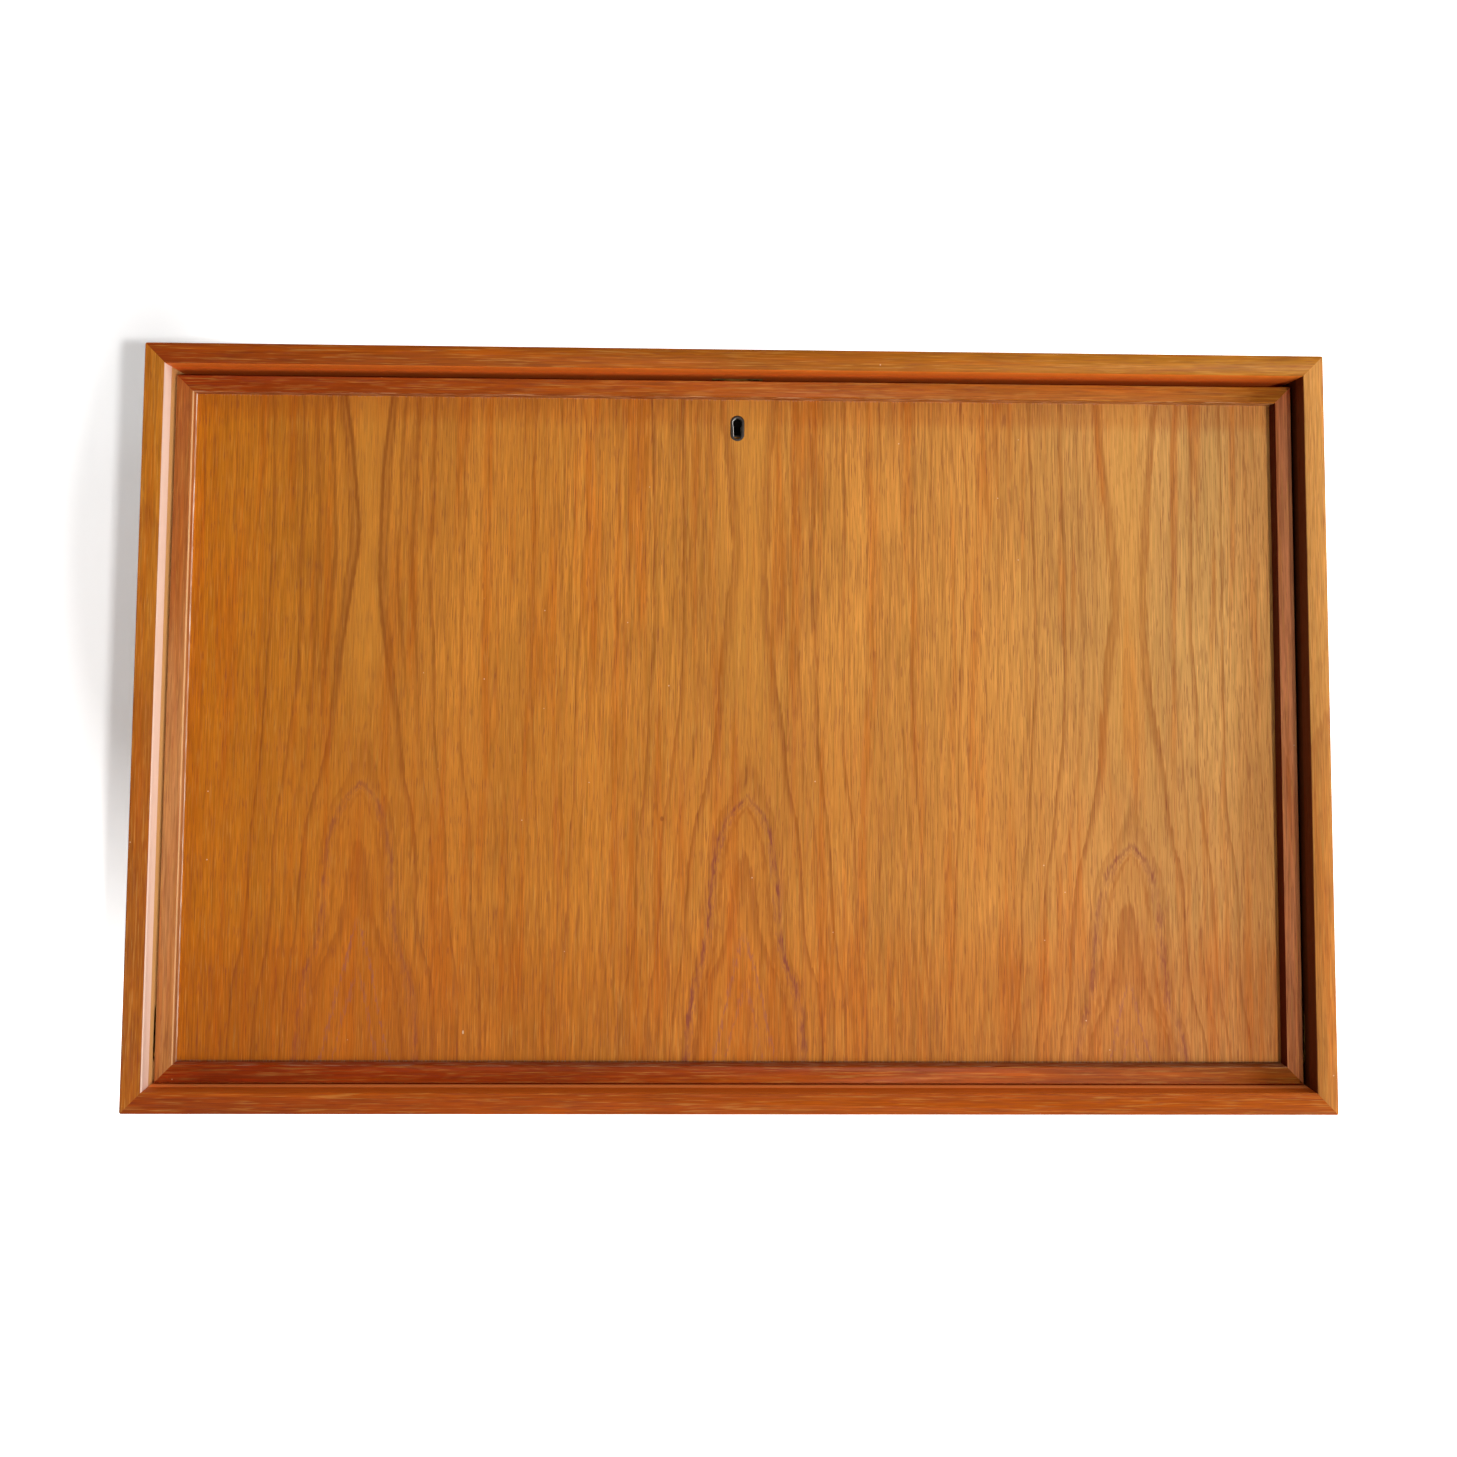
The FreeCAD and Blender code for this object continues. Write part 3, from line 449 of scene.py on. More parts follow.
    def layered(self, tone: Socket, layers: tuple[Layer, ...], place: Socket) -> Socket:
        """Lays marks along the grain over a colour.

        Args:
            tone: The colour under them.
            layers: The marks, from the lowest.
            place: The coordinates that the fibres follow.

        Returns:
            The colour with them.
        """
        for layer in layers:
            start, full = layer.span
            noise = self.fibres(layer.size, place=place)
            amount = add(
                self.tree,
                "ShaderNodeMapRange",
                {0: noise, 1: start, 2: full, 4: layer.strength},
                interpolation_type=layer.ease.value,
            )
            over = {AMOUNT: amount, UNDER: tone, OVER: linear(layer.tone)}
            tone = add(self.tree, "ShaderNodeMix", over, data_type="RGBA")
        return tone

    def shaded(self, tone: Socket, fibre: Socket, place: Socket) -> Socket:
        """Darkens and lightens a colour by clouds and by fibres.

        Args:
            tone: The colour.
            fibre: The fibres' own noise.
            place: The coordinates that the fibres follow.

        Returns:
            The shaded colour.
        """
        cloud = self.fibres(self.cloud_size, place=place)
        low, high = self.shade_span
        shades = []
        for noise, (dark, light) in ((cloud, self.cloud_shades), (fibre, self.fibre_shades)):
            span = {0: noise, 1: low, 2: high, 3: dark, 4: light}
            shades.append(add(self.tree, "ShaderNodeMapRange", span))
        shade = add(self.tree, "ShaderNodeMath", {0: shades[0], 1: shades[1]}, operation="MULTIPLY")
        return add(self.tree, "ShaderNodeVectorMath", {0: tone, "Scale": shade}, operation="SCALE")

    def colour(self, distance: Socket, place: Socket) -> tuple[Socket, Socket, Socket]:
        """The wood's colour with its painted light from left to right, rings, streaks, fibres and pores.

        Args:
            distance: The distance from the log's middle, in millimetres.
            place: The coordinates that the fibres follow.

        Returns:
            The colour, how far a pore lies open, and the fibres' own noise.
        """
        timber, tree = self.timber, self.tree
        # Painted light: the colour changes from the left end to the right, as the lamps on the right light
        # it
        rightward = add(
            tree, "ShaderNodeMapRange", {0: self.sides[0], 1: -self.half_width, 2: self.half_width}
        )
        painted_light_fade = {AMOUNT: rightward, UNDER: linear(timber.base), OVER: linear(timber.right_with_painted_light)}
        tone = self.marked(add(tree, "ShaderNodeMix", painted_light_fade, data_type="RGBA"), timber.tints)
        tone = self.ring_tone(tone, distance, place)
        tone = self.layered(tone, timber.broad(), place)
        fibre = self.fibres(self.fibre_size, 4.0, place)
        tone = self.shaded(tone, fibre, place)
        tone = self.layered(tone, timber.fine(), place)

        dashes = self.fibres(self.pore_size, 1.0, place)
        start, full = self.pore_span
        pores = add(
            tree, "ShaderNodeMapRange", {0: dashes, 1: start, 2: full}, interpolation_type=Ease.SOFT.value
        )
        dark = add(tree, "ShaderNodeMath", {0: pores, 1: timber.pore_depth}, operation="MULTIPLY")
        pored = {AMOUNT: dark, UNDER: tone, OVER: linear(timber.pore)}
        return add(tree, "ShaderNodeMix", pored, data_type="RGBA"), pores, fibre

    def marked(self, tone: Socket, lines: tuple[WearAndPaintedLight, ...]) -> Socket:
        """Lays lines of dust and scuffing, of painted light and shade, and tints over a colour.

        Args:
            tone: The colour under them.
            lines: Where they lie.

        Returns:
            The colour with them.
        """
        if not lines:
            return tone
        tree, soft = self.tree, Ease.SOFT.value
        start, full = self.patch_span
        noise = self.fibres(self.patch_size, 3.0)
        for wear_and_painted_light in lines:
            aside = {0: self.sides[wear_and_painted_light.axis.value], 1: wear_and_painted_light.place}
            off = add(tree, "ShaderNodeMath", aside, operation="SUBTRACT")
            off = add(tree, "ShaderNodeMath", {0: off}, operation="ABSOLUTE")
            reach = {0: off, 1: wear_and_painted_light.width / 2, 2: wear_and_painted_light.width, 3: 1.0, 4: 0.0}
            near = add(tree, "ShaderNodeMapRange", reach, interpolation_type=soft)
            whole = wear_and_painted_light.amount * (1 - wear_and_painted_light.patchy)
            patches = {0: noise, 1: start, 2: full, 3: whole, 4: wear_and_painted_light.amount}
            broken = add(tree, "ShaderNodeMapRange", patches, interpolation_type=soft)
            amount = add(tree, "ShaderNodeMath", {0: near, 1: broken}, operation="MULTIPLY")
            if wear_and_painted_light.back < 0:
                ended = {0: self.sides[1], 1: wear_and_painted_light.back - self.back_fade, 2: wear_and_painted_light.back, 3: 1.0, 4: 0.0}
                before = add(tree, "ShaderNodeMapRange", ended)
                amount = add(tree, "ShaderNodeMath", {0: amount, 1: before}, operation="MULTIPLY")
            over = {AMOUNT: amount, UNDER: tone, OVER: linear(wear_and_painted_light.tone)}
            tone = add(tree, "ShaderNodeMix", over, data_type="RGBA")
        return tone

    def specked(self, tone: Socket) -> Socket:
        """Lays a few specks of old paint and dust over a colour.

        Args:
            tone: The colour under them.

        Returns:
            The colour with them.
        """
        tree = self.tree
        spots = add(
            tree, "ShaderNodeTexVoronoi", {"Vector": self.plain, "Scale": 1 / self.speck_spacing}
        )
        chance = add(tree, "ShaderNodeSeparateXYZ", {0: spots.node.outputs["Color"]})
        rare, sure = self.speck_span
        few = add(tree, "ShaderNodeMapRange", {0: chance, 1: rare, 2: sure})
        inner, outer = self.speck_edge
        edge = {0: spots, 1: inner, 2: outer, 3: self.speck_depth, 4: 0.0}
        near = add(tree, "ShaderNodeMapRange", edge)
        amount = add(tree, "ShaderNodeMath", {0: few, 1: near}, operation="MULTIPLY")
        over = {AMOUNT: amount, UNDER: tone, OVER: linear(self.speck_tone)}
        return add(tree, "ShaderNodeMix", over, data_type="RGBA")

    def flawed(self, tone: Socket) -> Socket:
        """Lays the timber's knots, chips and scratches over a colour.

        Args:
            tone: The colour under them.

        Returns:
            The colour with them.
        """
        tree = self.tree
        inner, outer = self.flaw_edge
        for flaw in self.timber.flaws:
            scale = (1 / flaw.size[0], 0.0, 1 / flaw.size[1])
            shift = (-flaw.middle[0] * scale[0], 0.0, -flaw.middle[1] * scale[2])
            centred = {"Vector": self.plain, "Scale": scale, "Location": shift}
            about = add(tree, "ShaderNodeMapping", centred)
            away = add(tree, "ShaderNodeVectorMath", {0: about}, operation="LENGTH")
            edge = {0: away, 1: inner, 2: outer, 3: flaw.amount, 4: 0.0}
            amount = add(tree, "ShaderNodeMapRange", edge, interpolation_type=Ease.SOFT.value)
            over = {AMOUNT: amount, UNDER: tone, OVER: linear(flaw.tone)}
            tone = add(tree, "ShaderNodeMix", over, data_type="RGBA")
        return tone

    def finish(self, tone: Socket, pores: Socket, fibre: Socket) -> bpy.types.Material:
        """Joins colour, sheen and relief into the surface.

        Oiled wood has only a thin film on it, so its gloss is low, and open pores have none.

        Args:
            tone: The wood's colour.
            pores: How far a pore lies open.
            fibre: The fibres' own noise.

        Returns:
            The material.
        """
        tree = self.tree
        matt = {0: pores, 1: self.pore_matt, 2: self.timber.roughness}
        rough = add(tree, "ShaderNodeMath", matt, operation="MULTIPLY_ADD")
        height = add(tree, "ShaderNodeMath", {0: fibre, 1: self.fibre_relief}, operation="MULTIPLY")
        height = add(tree, "ShaderNodeMath", {0: height, 1: pores}, operation="SUBTRACT")
        relief = add(
            tree,
            "ShaderNodeBump",
            {"Height": height, "Strength": self.relief_strength, "Distance": self.relief_depth * MM},
        )
        surface = add(
            tree,
            "ShaderNodeBsdfPrincipled",
            {
                "Base Color": self.flawed(self.specked(self.marked(tone, self.timber.wear_and_painted_light))),
                "Roughness": rough,
                "Normal": relief,
                "IOR": self.oil_ior,
                "Specular IOR Level": self.oil_gloss,
            },
        )
        add(tree, "ShaderNodeOutputMaterial", {"Surface": surface})
        return self.material

    def build(self) -> bpy.types.Material:
        """The whole material, for a piece with plain grain."""
        return self.finish(*self.colour(*self.log_distance()))


@dataclass(frozen=True)
class Arch:
    """A dark line of the figure: how far inside the outermost it runs, its width, depth and colour."""

    inward: float
    width: float
    depth: float
    tone: str


@dataclass(frozen=True)
class Leaves:
    """Three sheets of veneer laid side by side, cut one after another from one log.

    Lengths are in millimetres.  Each sheet has its middle, the height at which its outermost arch
    ends, and a place of its own in the noise.  The log's depths give, for heights from that end, how
    deep its middle lay.  Inner lines and waists each have a place and a depth of colour.
    """

    middles: Point = (-286.0, 9.0, 305.0)
    peaks: Point = (-41.0, -51.0, -86.0)
    seams: Pair = (-139.0, 157.0)
    strengths: Point = (0.65, 1.0, 0.8)
    own_places: Point = (0.0, 5.0, 10.0)
    drift_size: Pair = (50.0, 130.0)
    drift: float = 6.0
    jag_size: Pair = (1.0, 11.0)
    jag: float = 4.0
    patch_size: Pair = (4.0, 14.0)
    patch_span: Pair = (0.34, 0.62)
    faintest: float = 0.2
    line_core: float = 0.2
    depth_at_peak: float = 96.0
    rise: float = 0.07
    point: float = 9.0
    lowest: float = -220.0
    highest: float = 345.0
    shallow: float = 76.0
    deep: float = 104.0
    depths: tuple[Pair, ...] = (
        (-220, 78.8), (-207, 79.6), (-160, 82.4), (-112, 88.7), (-55, 90.6), (-24, 93.1), (0, 96.0),
        (60, 98.8), (150, 101.6), (210, 101.8), (300, 99.9), (345, 98.1),
    )
    arches: tuple[Arch, ...] = (
        Arch(0.0, 2.6, 0.8, "#7c3834"),
        Arch(3.6, 1.2, 0.5, "#8c4a3e"),
        Arch(8.5, 3.0, 0.55, "#964a1a"),
    )
    blush: str = "#b45e14"
    blush_span: Pair = (-9.0, 1.0)
    blush_depth: float = 0.15
    column: str = "#d6923c"
    column_half: float = 34.0
    column_span: Pair = (-5.0, 120.0)
    column_depth: float = 0.28
    inner_peak: float = -106.0
    inner_spread: float = 0.23
    inner_lines: tuple[Pair, ...] = ((0.0, 0.6), (38.0, 0.45))
    inner_fade: float = 12.0
    inner_width: float = 1.0
    inner_tone: str = "#98584a"
    waists: tuple[Pair, ...] = ((103.5, 0.6), (104.7, 0.3), (107.3, 0.4), (111.5, 0.35))
    waist_strengths: Point = (1.0, 0.15, 0.3)
    waist_span: Pair = (30.0, 120.0)
    waist_jag: float = 0.35
    waist_width: float = 2.2
    waist_tone: str = "#7e3c14"


@dataclass(frozen=True)
class Spot:
    """Where the panel's points lie in its figure, in millimetres.

    Past says whether a point is past each seam, near how far it lies from its sheet's middle, and
    upward how far above the end of the outermost arch.  Place is what the fibres follow.  Distance
    is from the log's middle, lean how fast that grows square to a line, and outward how far the
    point lies outside the outermost arch.  Jag is how far the lines stray there.
    """

    past: tuple[Socket, Socket]
    near: Socket
    upward: Socket
    place: Socket
    distance: Socket
    lean: Socket
    outward: Socket
    jag: Socket


class PanelFinish(WoodFinish):
    """The flap's veneer, with an arched figure in each of its three sheets."""

    def __init__(self, timber: Timber, leaves: Leaves) -> None:
        """Keeps the layout of the sheets.

        Args:
            timber: The wood that it draws.
            leaves: The layout of its sheets.
        """
        super().__init__(timber)
        self.leaves = leaves

    def by_sheet(self, values: Point, past: tuple[Socket, Socket]) -> Socket:
        """The value of the sheet that a point lies in.

        Args:
            values: One value for each sheet, from the left.
            past: Whether the point is past each seam.

        Returns:
            The value.
        """
        value: Any = values[0]
        for seam, before, after in zip(past, values, values[1:]):
            step = {0: seam, 1: after - before, 2: value}
            value = add(self.tree, "ShaderNodeMath", step, operation="MULTIPLY_ADD")
        return value

    def log_depth(self, upward: Socket) -> Socket:
        """How deep the log's middle lay under the veneer.

        Args:
            upward: The height from the end of the outermost arch.

        Returns:
            The depth in millimetres.
        """
        leaves, tree = self.leaves, self.tree
        share = add(tree, "ShaderNodeMapRange", {0: upward, 1: leaves.lowest, 2: leaves.highest})
        drawn = add(tree, "ShaderNodeFloatCurve", {1: share})
        curve = drawn.node.mapping.curves[0]
        tall, wide = leaves.highest - leaves.lowest, leaves.deep - leaves.shallow
        points = [
            ((at - leaves.lowest) / tall, (depth - leaves.shallow) / wide) for at, depth in leaves.depths
        ]
        curve.points[0].location, curve.points[1].location = points[0], points[-1]
        for point in points[1:-1]:
            curve.points.new(*point)
        drawn.node.mapping.update()
        return add(tree, "ShaderNodeMapRange", {0: drawn, 3: leaves.shallow, 4: leaves.deep})

    def locate(self) -> Spot:
        """Finds where the panel's points lie in its figure.

        Returns:
            Their places, as sockets.
        """
        leaves, tree = self.leaves, self.tree
        past = tuple(
            add(tree, "ShaderNodeMath", {0: self.sides[0], 1: seam}, operation="GREATER_THAN")
            for seam in leaves.seams
        )
        middle, peak = self.by_sheet(leaves.middles, past), self.by_sheet(leaves.peaks, past)
        upward = add(tree, "ShaderNodeMath", {0: self.sides[2], 1: peak}, operation="SUBTRACT")
        aside = add(tree, "ShaderNodeMath", {0: self.sides[0], 1: middle}, operation="SUBTRACT")
        own = self.by_sheet(leaves.own_places, past)
        place = add(tree, "ShaderNodeCombineXYZ", {0: aside, 1: own, 2: upward})
        drift = self.fibres(leaves.drift_size, 1.0, place)
        drift = add(tree, "ShaderNodeMapRange", {0: drift, 3: -leaves.drift, 4: leaves.drift})
        bent = add(tree, "ShaderNodeMath", {0: aside, 1: drift}, operation="ADD")

        near = add(tree, "ShaderNodeMath", {0: bent}, operation="ABSOLUTE")
        pointed = add(tree, "ShaderNodeMath", {0: near, 1: leaves.point}, operation="ADD")
        flat = add(tree, "ShaderNodeCombineXYZ", {0: pointed, 1: self.log_depth(upward)})
        distance = add(tree, "ShaderNodeVectorMath", {0: flat}, operation="LENGTH")
        share = add(tree, "ShaderNodeMath", {0: pointed, 1: distance}, operation="DIVIDE")
        slant = add(tree, "ShaderNodeCombineXYZ", {0: share, 1: leaves.rise})
        lean = add(tree, "ShaderNodeVectorMath", {0: slant}, operation="LENGTH")
        beyond = {0: distance, 1: leaves.depth_at_peak}
        outward = add(tree, "ShaderNodeMath", beyond, operation="SUBTRACT")
        outward = add(tree, "ShaderNodeMath", {0: outward, 1: lean}, operation="DIVIDE")

        jag = self.fibres(leaves.jag_size, 1.0, place)
        jag = add(tree, "ShaderNodeMapRange", {0: jag, 3: -leaves.jag, 4: leaves.jag})
        return Spot(past, near, upward, place, distance, lean, outward, jag)

    def tinted(self, tone: Socket, spot: Spot) -> Socket:
        """Reddens the wood inside the arches, and lightens a column above their ends.

        Args:
            tone: The wood's colour.
            spot: Where a point lies in the figure.

        Returns:
            The colour with both.
        """
        leaves, tree = self.leaves, self.tree
        inner, outer = leaves.blush_span
        blush = {0: spot.outward, 1: inner, 2: outer, 3: leaves.blush_depth, 4: 0.0}
        inside = add(tree, "ShaderNodeMapRange", blush)
        middle = {0: spot.near, 1: 0.0, 2: leaves.column_half, 3: leaves.column_depth, 4: 0.0}
        column = add(tree, "ShaderNodeMapRange", middle, interpolation_type=Ease.SOFT.value)
        start, full = leaves.column_span
        above = add(
            tree,
            "ShaderNodeMapRange",
            {0: spot.upward, 1: start, 2: full},
            interpolation_type=Ease.SOFT.value,
        )
        raised = add(tree, "ShaderNodeMath", {0: column, 1: above}, operation="MULTIPLY")
        for amount, colour in ((inside, leaves.blush), (raised, leaves.column)):
            over = {AMOUNT: amount, UNDER: tone, OVER: linear(colour)}
            tone = add(tree, "ShaderNodeMix", over, data_type="RGBA")
        return tone

    def line(self, tone: Socket, off: Socket, width: float, depth: Number, colour: str) -> Socket:
        """Draws a line of the figure over a colour.

        Args:
            tone: The colour under it.
            off: The distance from the line's middle, in millimetres.
            width: The line's width.
            depth: How strongly it shows.
            colour: Its own colour.

        Returns:
            The colour with the line.
        """
        near = add(self.tree, "ShaderNodeMath", {0: off}, operation="ABSOLUTE")
        edge = {0: near, 1: width * self.leaves.line_core, 2: width, 3: depth, 4: 0.0}
        amount = add(self.tree, "ShaderNodeMapRange", edge, interpolation_type=Ease.SOFT.value)
        over = {AMOUNT: amount, UNDER: tone, OVER: linear(colour)}
        return add(self.tree, "ShaderNodeMix", over, data_type="RGBA")

    def arch_lines(self, tone: Socket, spot: Spot) -> Socket:
        """Draws the dark lines of the outermost arches, broken up along their way.

        Args:
            tone: The colour under them.
            spot: Where a point lies in the figure.

        Returns:
            The colour with the lines.
        """
        leaves, tree = self.leaves, self.tree
        ragged = add(tree, "ShaderNodeMath", {0: spot.outward, 1: spot.jag}, operation="ADD")
        patch = self.fibres(leaves.patch_size, 3.0, spot.place)
        start, full = leaves.patch_span
        shown = self.by_sheet(leaves.strengths, spot.past)
        for arch in leaves.arches:
            off = add(tree, "ShaderNodeMath", {0: ragged, 1: arch.inward}, operation="ADD")
            broken = {0: patch, 1: start, 2: full, 3: arch.depth * leaves.faintest, 4: arch.depth}
            strength = add(tree, "ShaderNodeMapRange", broken)
            strength = add(tree, "ShaderNodeMath", {0: strength, 1: shown}, operation="MULTIPLY")
            tone = self.line(tone, off, arch.width, strength, arch.tone)
        return tone

    def inner_lines(self, tone: Socket, spot: Spot) -> Socket:
        """Draws the narrow inner arch, low in each sheet.

        Args:
            tone: The colour under it.
            spot: Where a point lies in the figure.

        Returns:
            The colour with the lines.
        """
        leaves, tree = self.leaves, self.tree
        ragged = add(tree, "ShaderNodeMath", {0: spot.near, 1: spot.jag}, operation="ADD")
        for lower, depth in leaves.inner_lines:
            peak = {0: leaves.inner_peak - lower, 1: spot.upward}
            below = add(tree, "ShaderNodeMath", peak, operation="SUBTRACT")
            half = add(tree, "ShaderNodeMath", {0: below, 1: leaves.inner_spread}, operation="MULTIPLY")
            off = add(tree, "ShaderNodeMath", {0: ragged, 1: half}, operation="SUBTRACT")
            shown = add(tree, "ShaderNodeMapRange", {0: below, 1: 0.0, 2: leaves.inner_fade, 4: depth})
            tone = self.line(tone, off, leaves.inner_width, shown, leaves.inner_tone)
        return tone

    def waist_lines(self, tone: Socket, spot: Spot) -> Socket:
        """Draws the lines that close in to a waist high above the arches and part again.

        Args:
            tone: The colour under them.
            spot: Where a point lies in the figure.

        Returns:
            The colour with the lines.
        """
        leaves, tree = self.leaves, self.tree
        start, full = leaves.waist_span
        high = add(
            tree,
            "ShaderNodeMapRange",
            {0: spot.upward, 1: start, 2: full},
            interpolation_type=Ease.SOFT.value,
        )
        shown = self.by_sheet(leaves.waist_strengths, spot.past)
        shown = add(tree, "ShaderNodeMath", {0: shown, 1: high}, operation="MULTIPLY")
        for ring, depth in leaves.waists:
            off = add(tree, "ShaderNodeMath", {0: spot.distance, 1: ring}, operation="SUBTRACT")
            off = add(tree, "ShaderNodeMath", {0: off, 1: spot.lean}, operation="DIVIDE")
            ragged = {0: spot.jag, 1: leaves.waist_jag, 2: off}
            off = add(tree, "ShaderNodeMath", ragged, operation="MULTIPLY_ADD")
            strength = add(tree, "ShaderNodeMath", {0: shown, 1: depth}, operation="MULTIPLY")
            tone = self.line(tone, off, leaves.waist_width, strength, leaves.waist_tone)
        return tone

    def build(self) -> bpy.types.Material:
        """The whole material.

        Returns:
            The material.
        """
        spot = self.locate()
        tone, pores, fibre = self.colour(spot.distance, spot.place)
        tone = self.arch_lines(self.tinted(tone, spot), spot)
        tone = self.waist_lines(self.inner_lines(tone, spot), spot)
        return self.finish(tone, pores, fibre)


@dataclass(frozen=True)
class Metal:
    """A metal finish: its colour, its tarnish and how it was worked.

    Lengths are in millimetres.  Past the hidden depth, inside the wood, the metal was never cleaned
    and is darker; on the lock plate the darkening is painted shade, where it shows through the keyhole.
    The bare share is what no oxide covers, and a side that faces the highlight's way gets a painted
    highlight.
    """

    name: str
    base: str
    tarnish: str
    roughness: float = 0.3
    cloud: float = 7.0
    scratch: float = 0.35
    hidden: Optional[float] = None
    dull: str = "#2b2623"
    bare: float = 1.0
    highlight_way: Optional[Point] = None
    painted_highlight: str = "#f6f2ea"


class MetalFinish:
    """Draws a worn metal in nodes: clouds of tarnish, and fine lines from brushing along the part.

    The lines are drawn 20 times as long as they are wide.
    """

    tarnish_span: Pair = (0.42, 0.7)
    tarnish_matt: float = 0.16
    line_stretch: float = 0.05
    line_strength: float = 0.15
    line_depth: float = 0.02
    hidden_fade: float = 0.8
    hidden_matt: float = 0.3
    facing_span: Pair = (0.6, 0.9)
    left_span: Pair = (1.5, -0.5)

    def __init__(self, metal: Metal) -> None:
        """Starts the material.

        Args:
            metal: The metal that it draws.
        """
        self.metal = metal
        self.material = empty_material(metal.name)
        self.tree = self.material.node_tree
        self.place = own_place(self.tree)

    def dulled(self, tone: Socket, rough: Socket) -> tuple[Socket, Socket]:
        """Dulls and darkens the metal past its hidden depth: grime, and on the lock plate painted shade.

        Args:
            tone: Its colour.
            rough: Its roughness.

        Returns:
            The colour and roughness.
        """
        depth = self.metal.hidden
        sides = add(self.tree, "ShaderNodeSeparateXYZ", {0: self.place}).node.outputs
        past = {0: sides[1], 1: depth, 2: depth - self.hidden_fade}
        inside = add(self.tree, "ShaderNodeMapRange", past)
        over = {AMOUNT: inside, UNDER: tone, OVER: linear(self.metal.dull)}
        matt = {0: inside, 1: self.hidden_matt, 2: rough}
        return (
            add(self.tree, "ShaderNodeMix", over, data_type="RGBA"),
            add(self.tree, "ShaderNodeMath", matt, operation="MULTIPLY_ADD"),
        )

    def painted_highlight(self, tone: Socket) -> Socket:
        """Paints a highlight on the left sides that face the highlight's way.

        Args:
            tone: The metal's colour.

        Returns:
            The colour with the painted highlight.
        """
        tree = self.tree
        normal = add(tree, "ShaderNodeTexCoord").node.outputs["Normal"]
        way = {0: normal, 1: Vector(self.metal.highlight_way).normalized()}
        facing = add(tree, "ShaderNodeVectorMath", way, operation="DOT_PRODUCT")
        start, full = self.facing_span
        facing = add(
            tree, "ShaderNodeMapRange", {0: facing, 1: start, 2: full}, interpolation_type=Ease.SOFT.value
        )
        start, full = self.left_span
        across = add(tree, "ShaderNodeSeparateXYZ", {0: self.place})
        left = add(tree, "ShaderNodeMapRange", {0: across, 1: start, 2: full})
        amount = add(tree, "ShaderNodeMath", {0: facing, 1: left}, operation="MULTIPLY")
        over = {AMOUNT: amount, UNDER: tone, OVER: linear(self.metal.painted_highlight)}
        return add(tree, "ShaderNodeMix", over, data_type="RGBA")

    def build(self) -> bpy.types.Material:
        """The whole material.

        Returns:
            The material.
        """
        metal, tree = self.metal, self.tree
        cloud = add(
            tree, "ShaderNodeTexNoise", {"Vector": self.place, "Scale": 1 / metal.cloud, "Detail": 4.0}
        )
        start, full = self.tarnish_span
        marked = add(
            tree, "ShaderNodeMapRange", {0: cloud, 1: start, 2: full}, interpolation_type=Ease.SOFT.value
        )
        tarnished = {AMOUNT: marked, UNDER: linear(metal.base), OVER: linear(metal.tarnish)}
        tone = add(tree, "ShaderNodeMix", tarnished, data_type="RGBA")
        matt = {0: marked, 1: self.tarnish_matt, 2: metal.roughness}
        rough = add(tree, "ShaderNodeMath", matt, operation="MULTIPLY_ADD")
        # Past the hidden depth: grime, and on the lock plate painted shade
        if metal.hidden is not None:
            tone, rough = self.dulled(tone, rough)
        # A painted highlight on the sides that face its way, on their left
        if metal.highlight_way is not None:
            tone = self.painted_highlight(tone)
        wide, long = 1 / metal.scratch, self.line_stretch / metal.scratch
        drawn = add(tree, "ShaderNodeMapping", {"Vector": self.place, "Scale": (wide, long, wide)})
        lines = add(tree, "ShaderNodeTexNoise", {"Vector": drawn, "Scale": 1.0, "Detail": 2.0})
        relief = add(
            tree,
            "ShaderNodeBump",
            {"Height": lines, "Strength": self.line_strength, "Distance": self.line_depth * MM},
        )
        surface = add(
            tree,
            "ShaderNodeBsdfPrincipled",
            {"Base Color": tone, "Metallic": metal.bare, "Roughness": rough, "Normal": relief},
        )
        add(tree, "ShaderNodeOutputMaterial", {"Surface": surface})
        return self.material


@dataclass(frozen=True)
class Felt:
    """Pressed wool felt: matt, with short fibres that give it a soft pale bloom at its edge.

    Its fibres are about 0.02 mm thick, and are drawn as tufts of about half a millimetre to show.
    """

    name: str = "pressed_wool_felt"
    deep: str = "#1c3324"
    pale: str = "#48684d"
    tuft: float = 0.45
    relief_strength: float = 0.6
    relief_depth: float = 0.2
    roughness: float = 0.95
    bloom: float = 0.3

    def build(self) -> bpy.types.Material:
        """The whole material.

        Returns:
            The material.
        """
        material = empty_material(self.name)
        tree = material.node_tree
        tufts = add(
            tree, "ShaderNodeTexNoise", {"Vector": own_place(tree), "Scale": 1 / self.tuft, "Detail": 4.0}
        )
        mixed = {AMOUNT: tufts, UNDER: linear(self.deep), OVER: linear(self.pale)}
        tone = add(tree, "ShaderNodeMix", mixed, data_type="RGBA")
        relief = add(
            tree,
            "ShaderNodeBump",
            {"Height": tufts, "Strength": self.relief_strength, "Distance": self.relief_depth * MM},
        )
        surface = add(
            tree,
            "ShaderNodeBsdfPrincipled",
            {
                "Base Color": tone,
                "Roughness": self.roughness,
                "Normal": relief,
                "Sheen Weight": self.bloom,
            },
        )
        add(tree, "ShaderNodeOutputMaterial", {"Surface": surface})
        return material


class Edges(Enum):
    """Which edges of a piece are rounded."""

    FRONT = "front"
    ALL = "all"


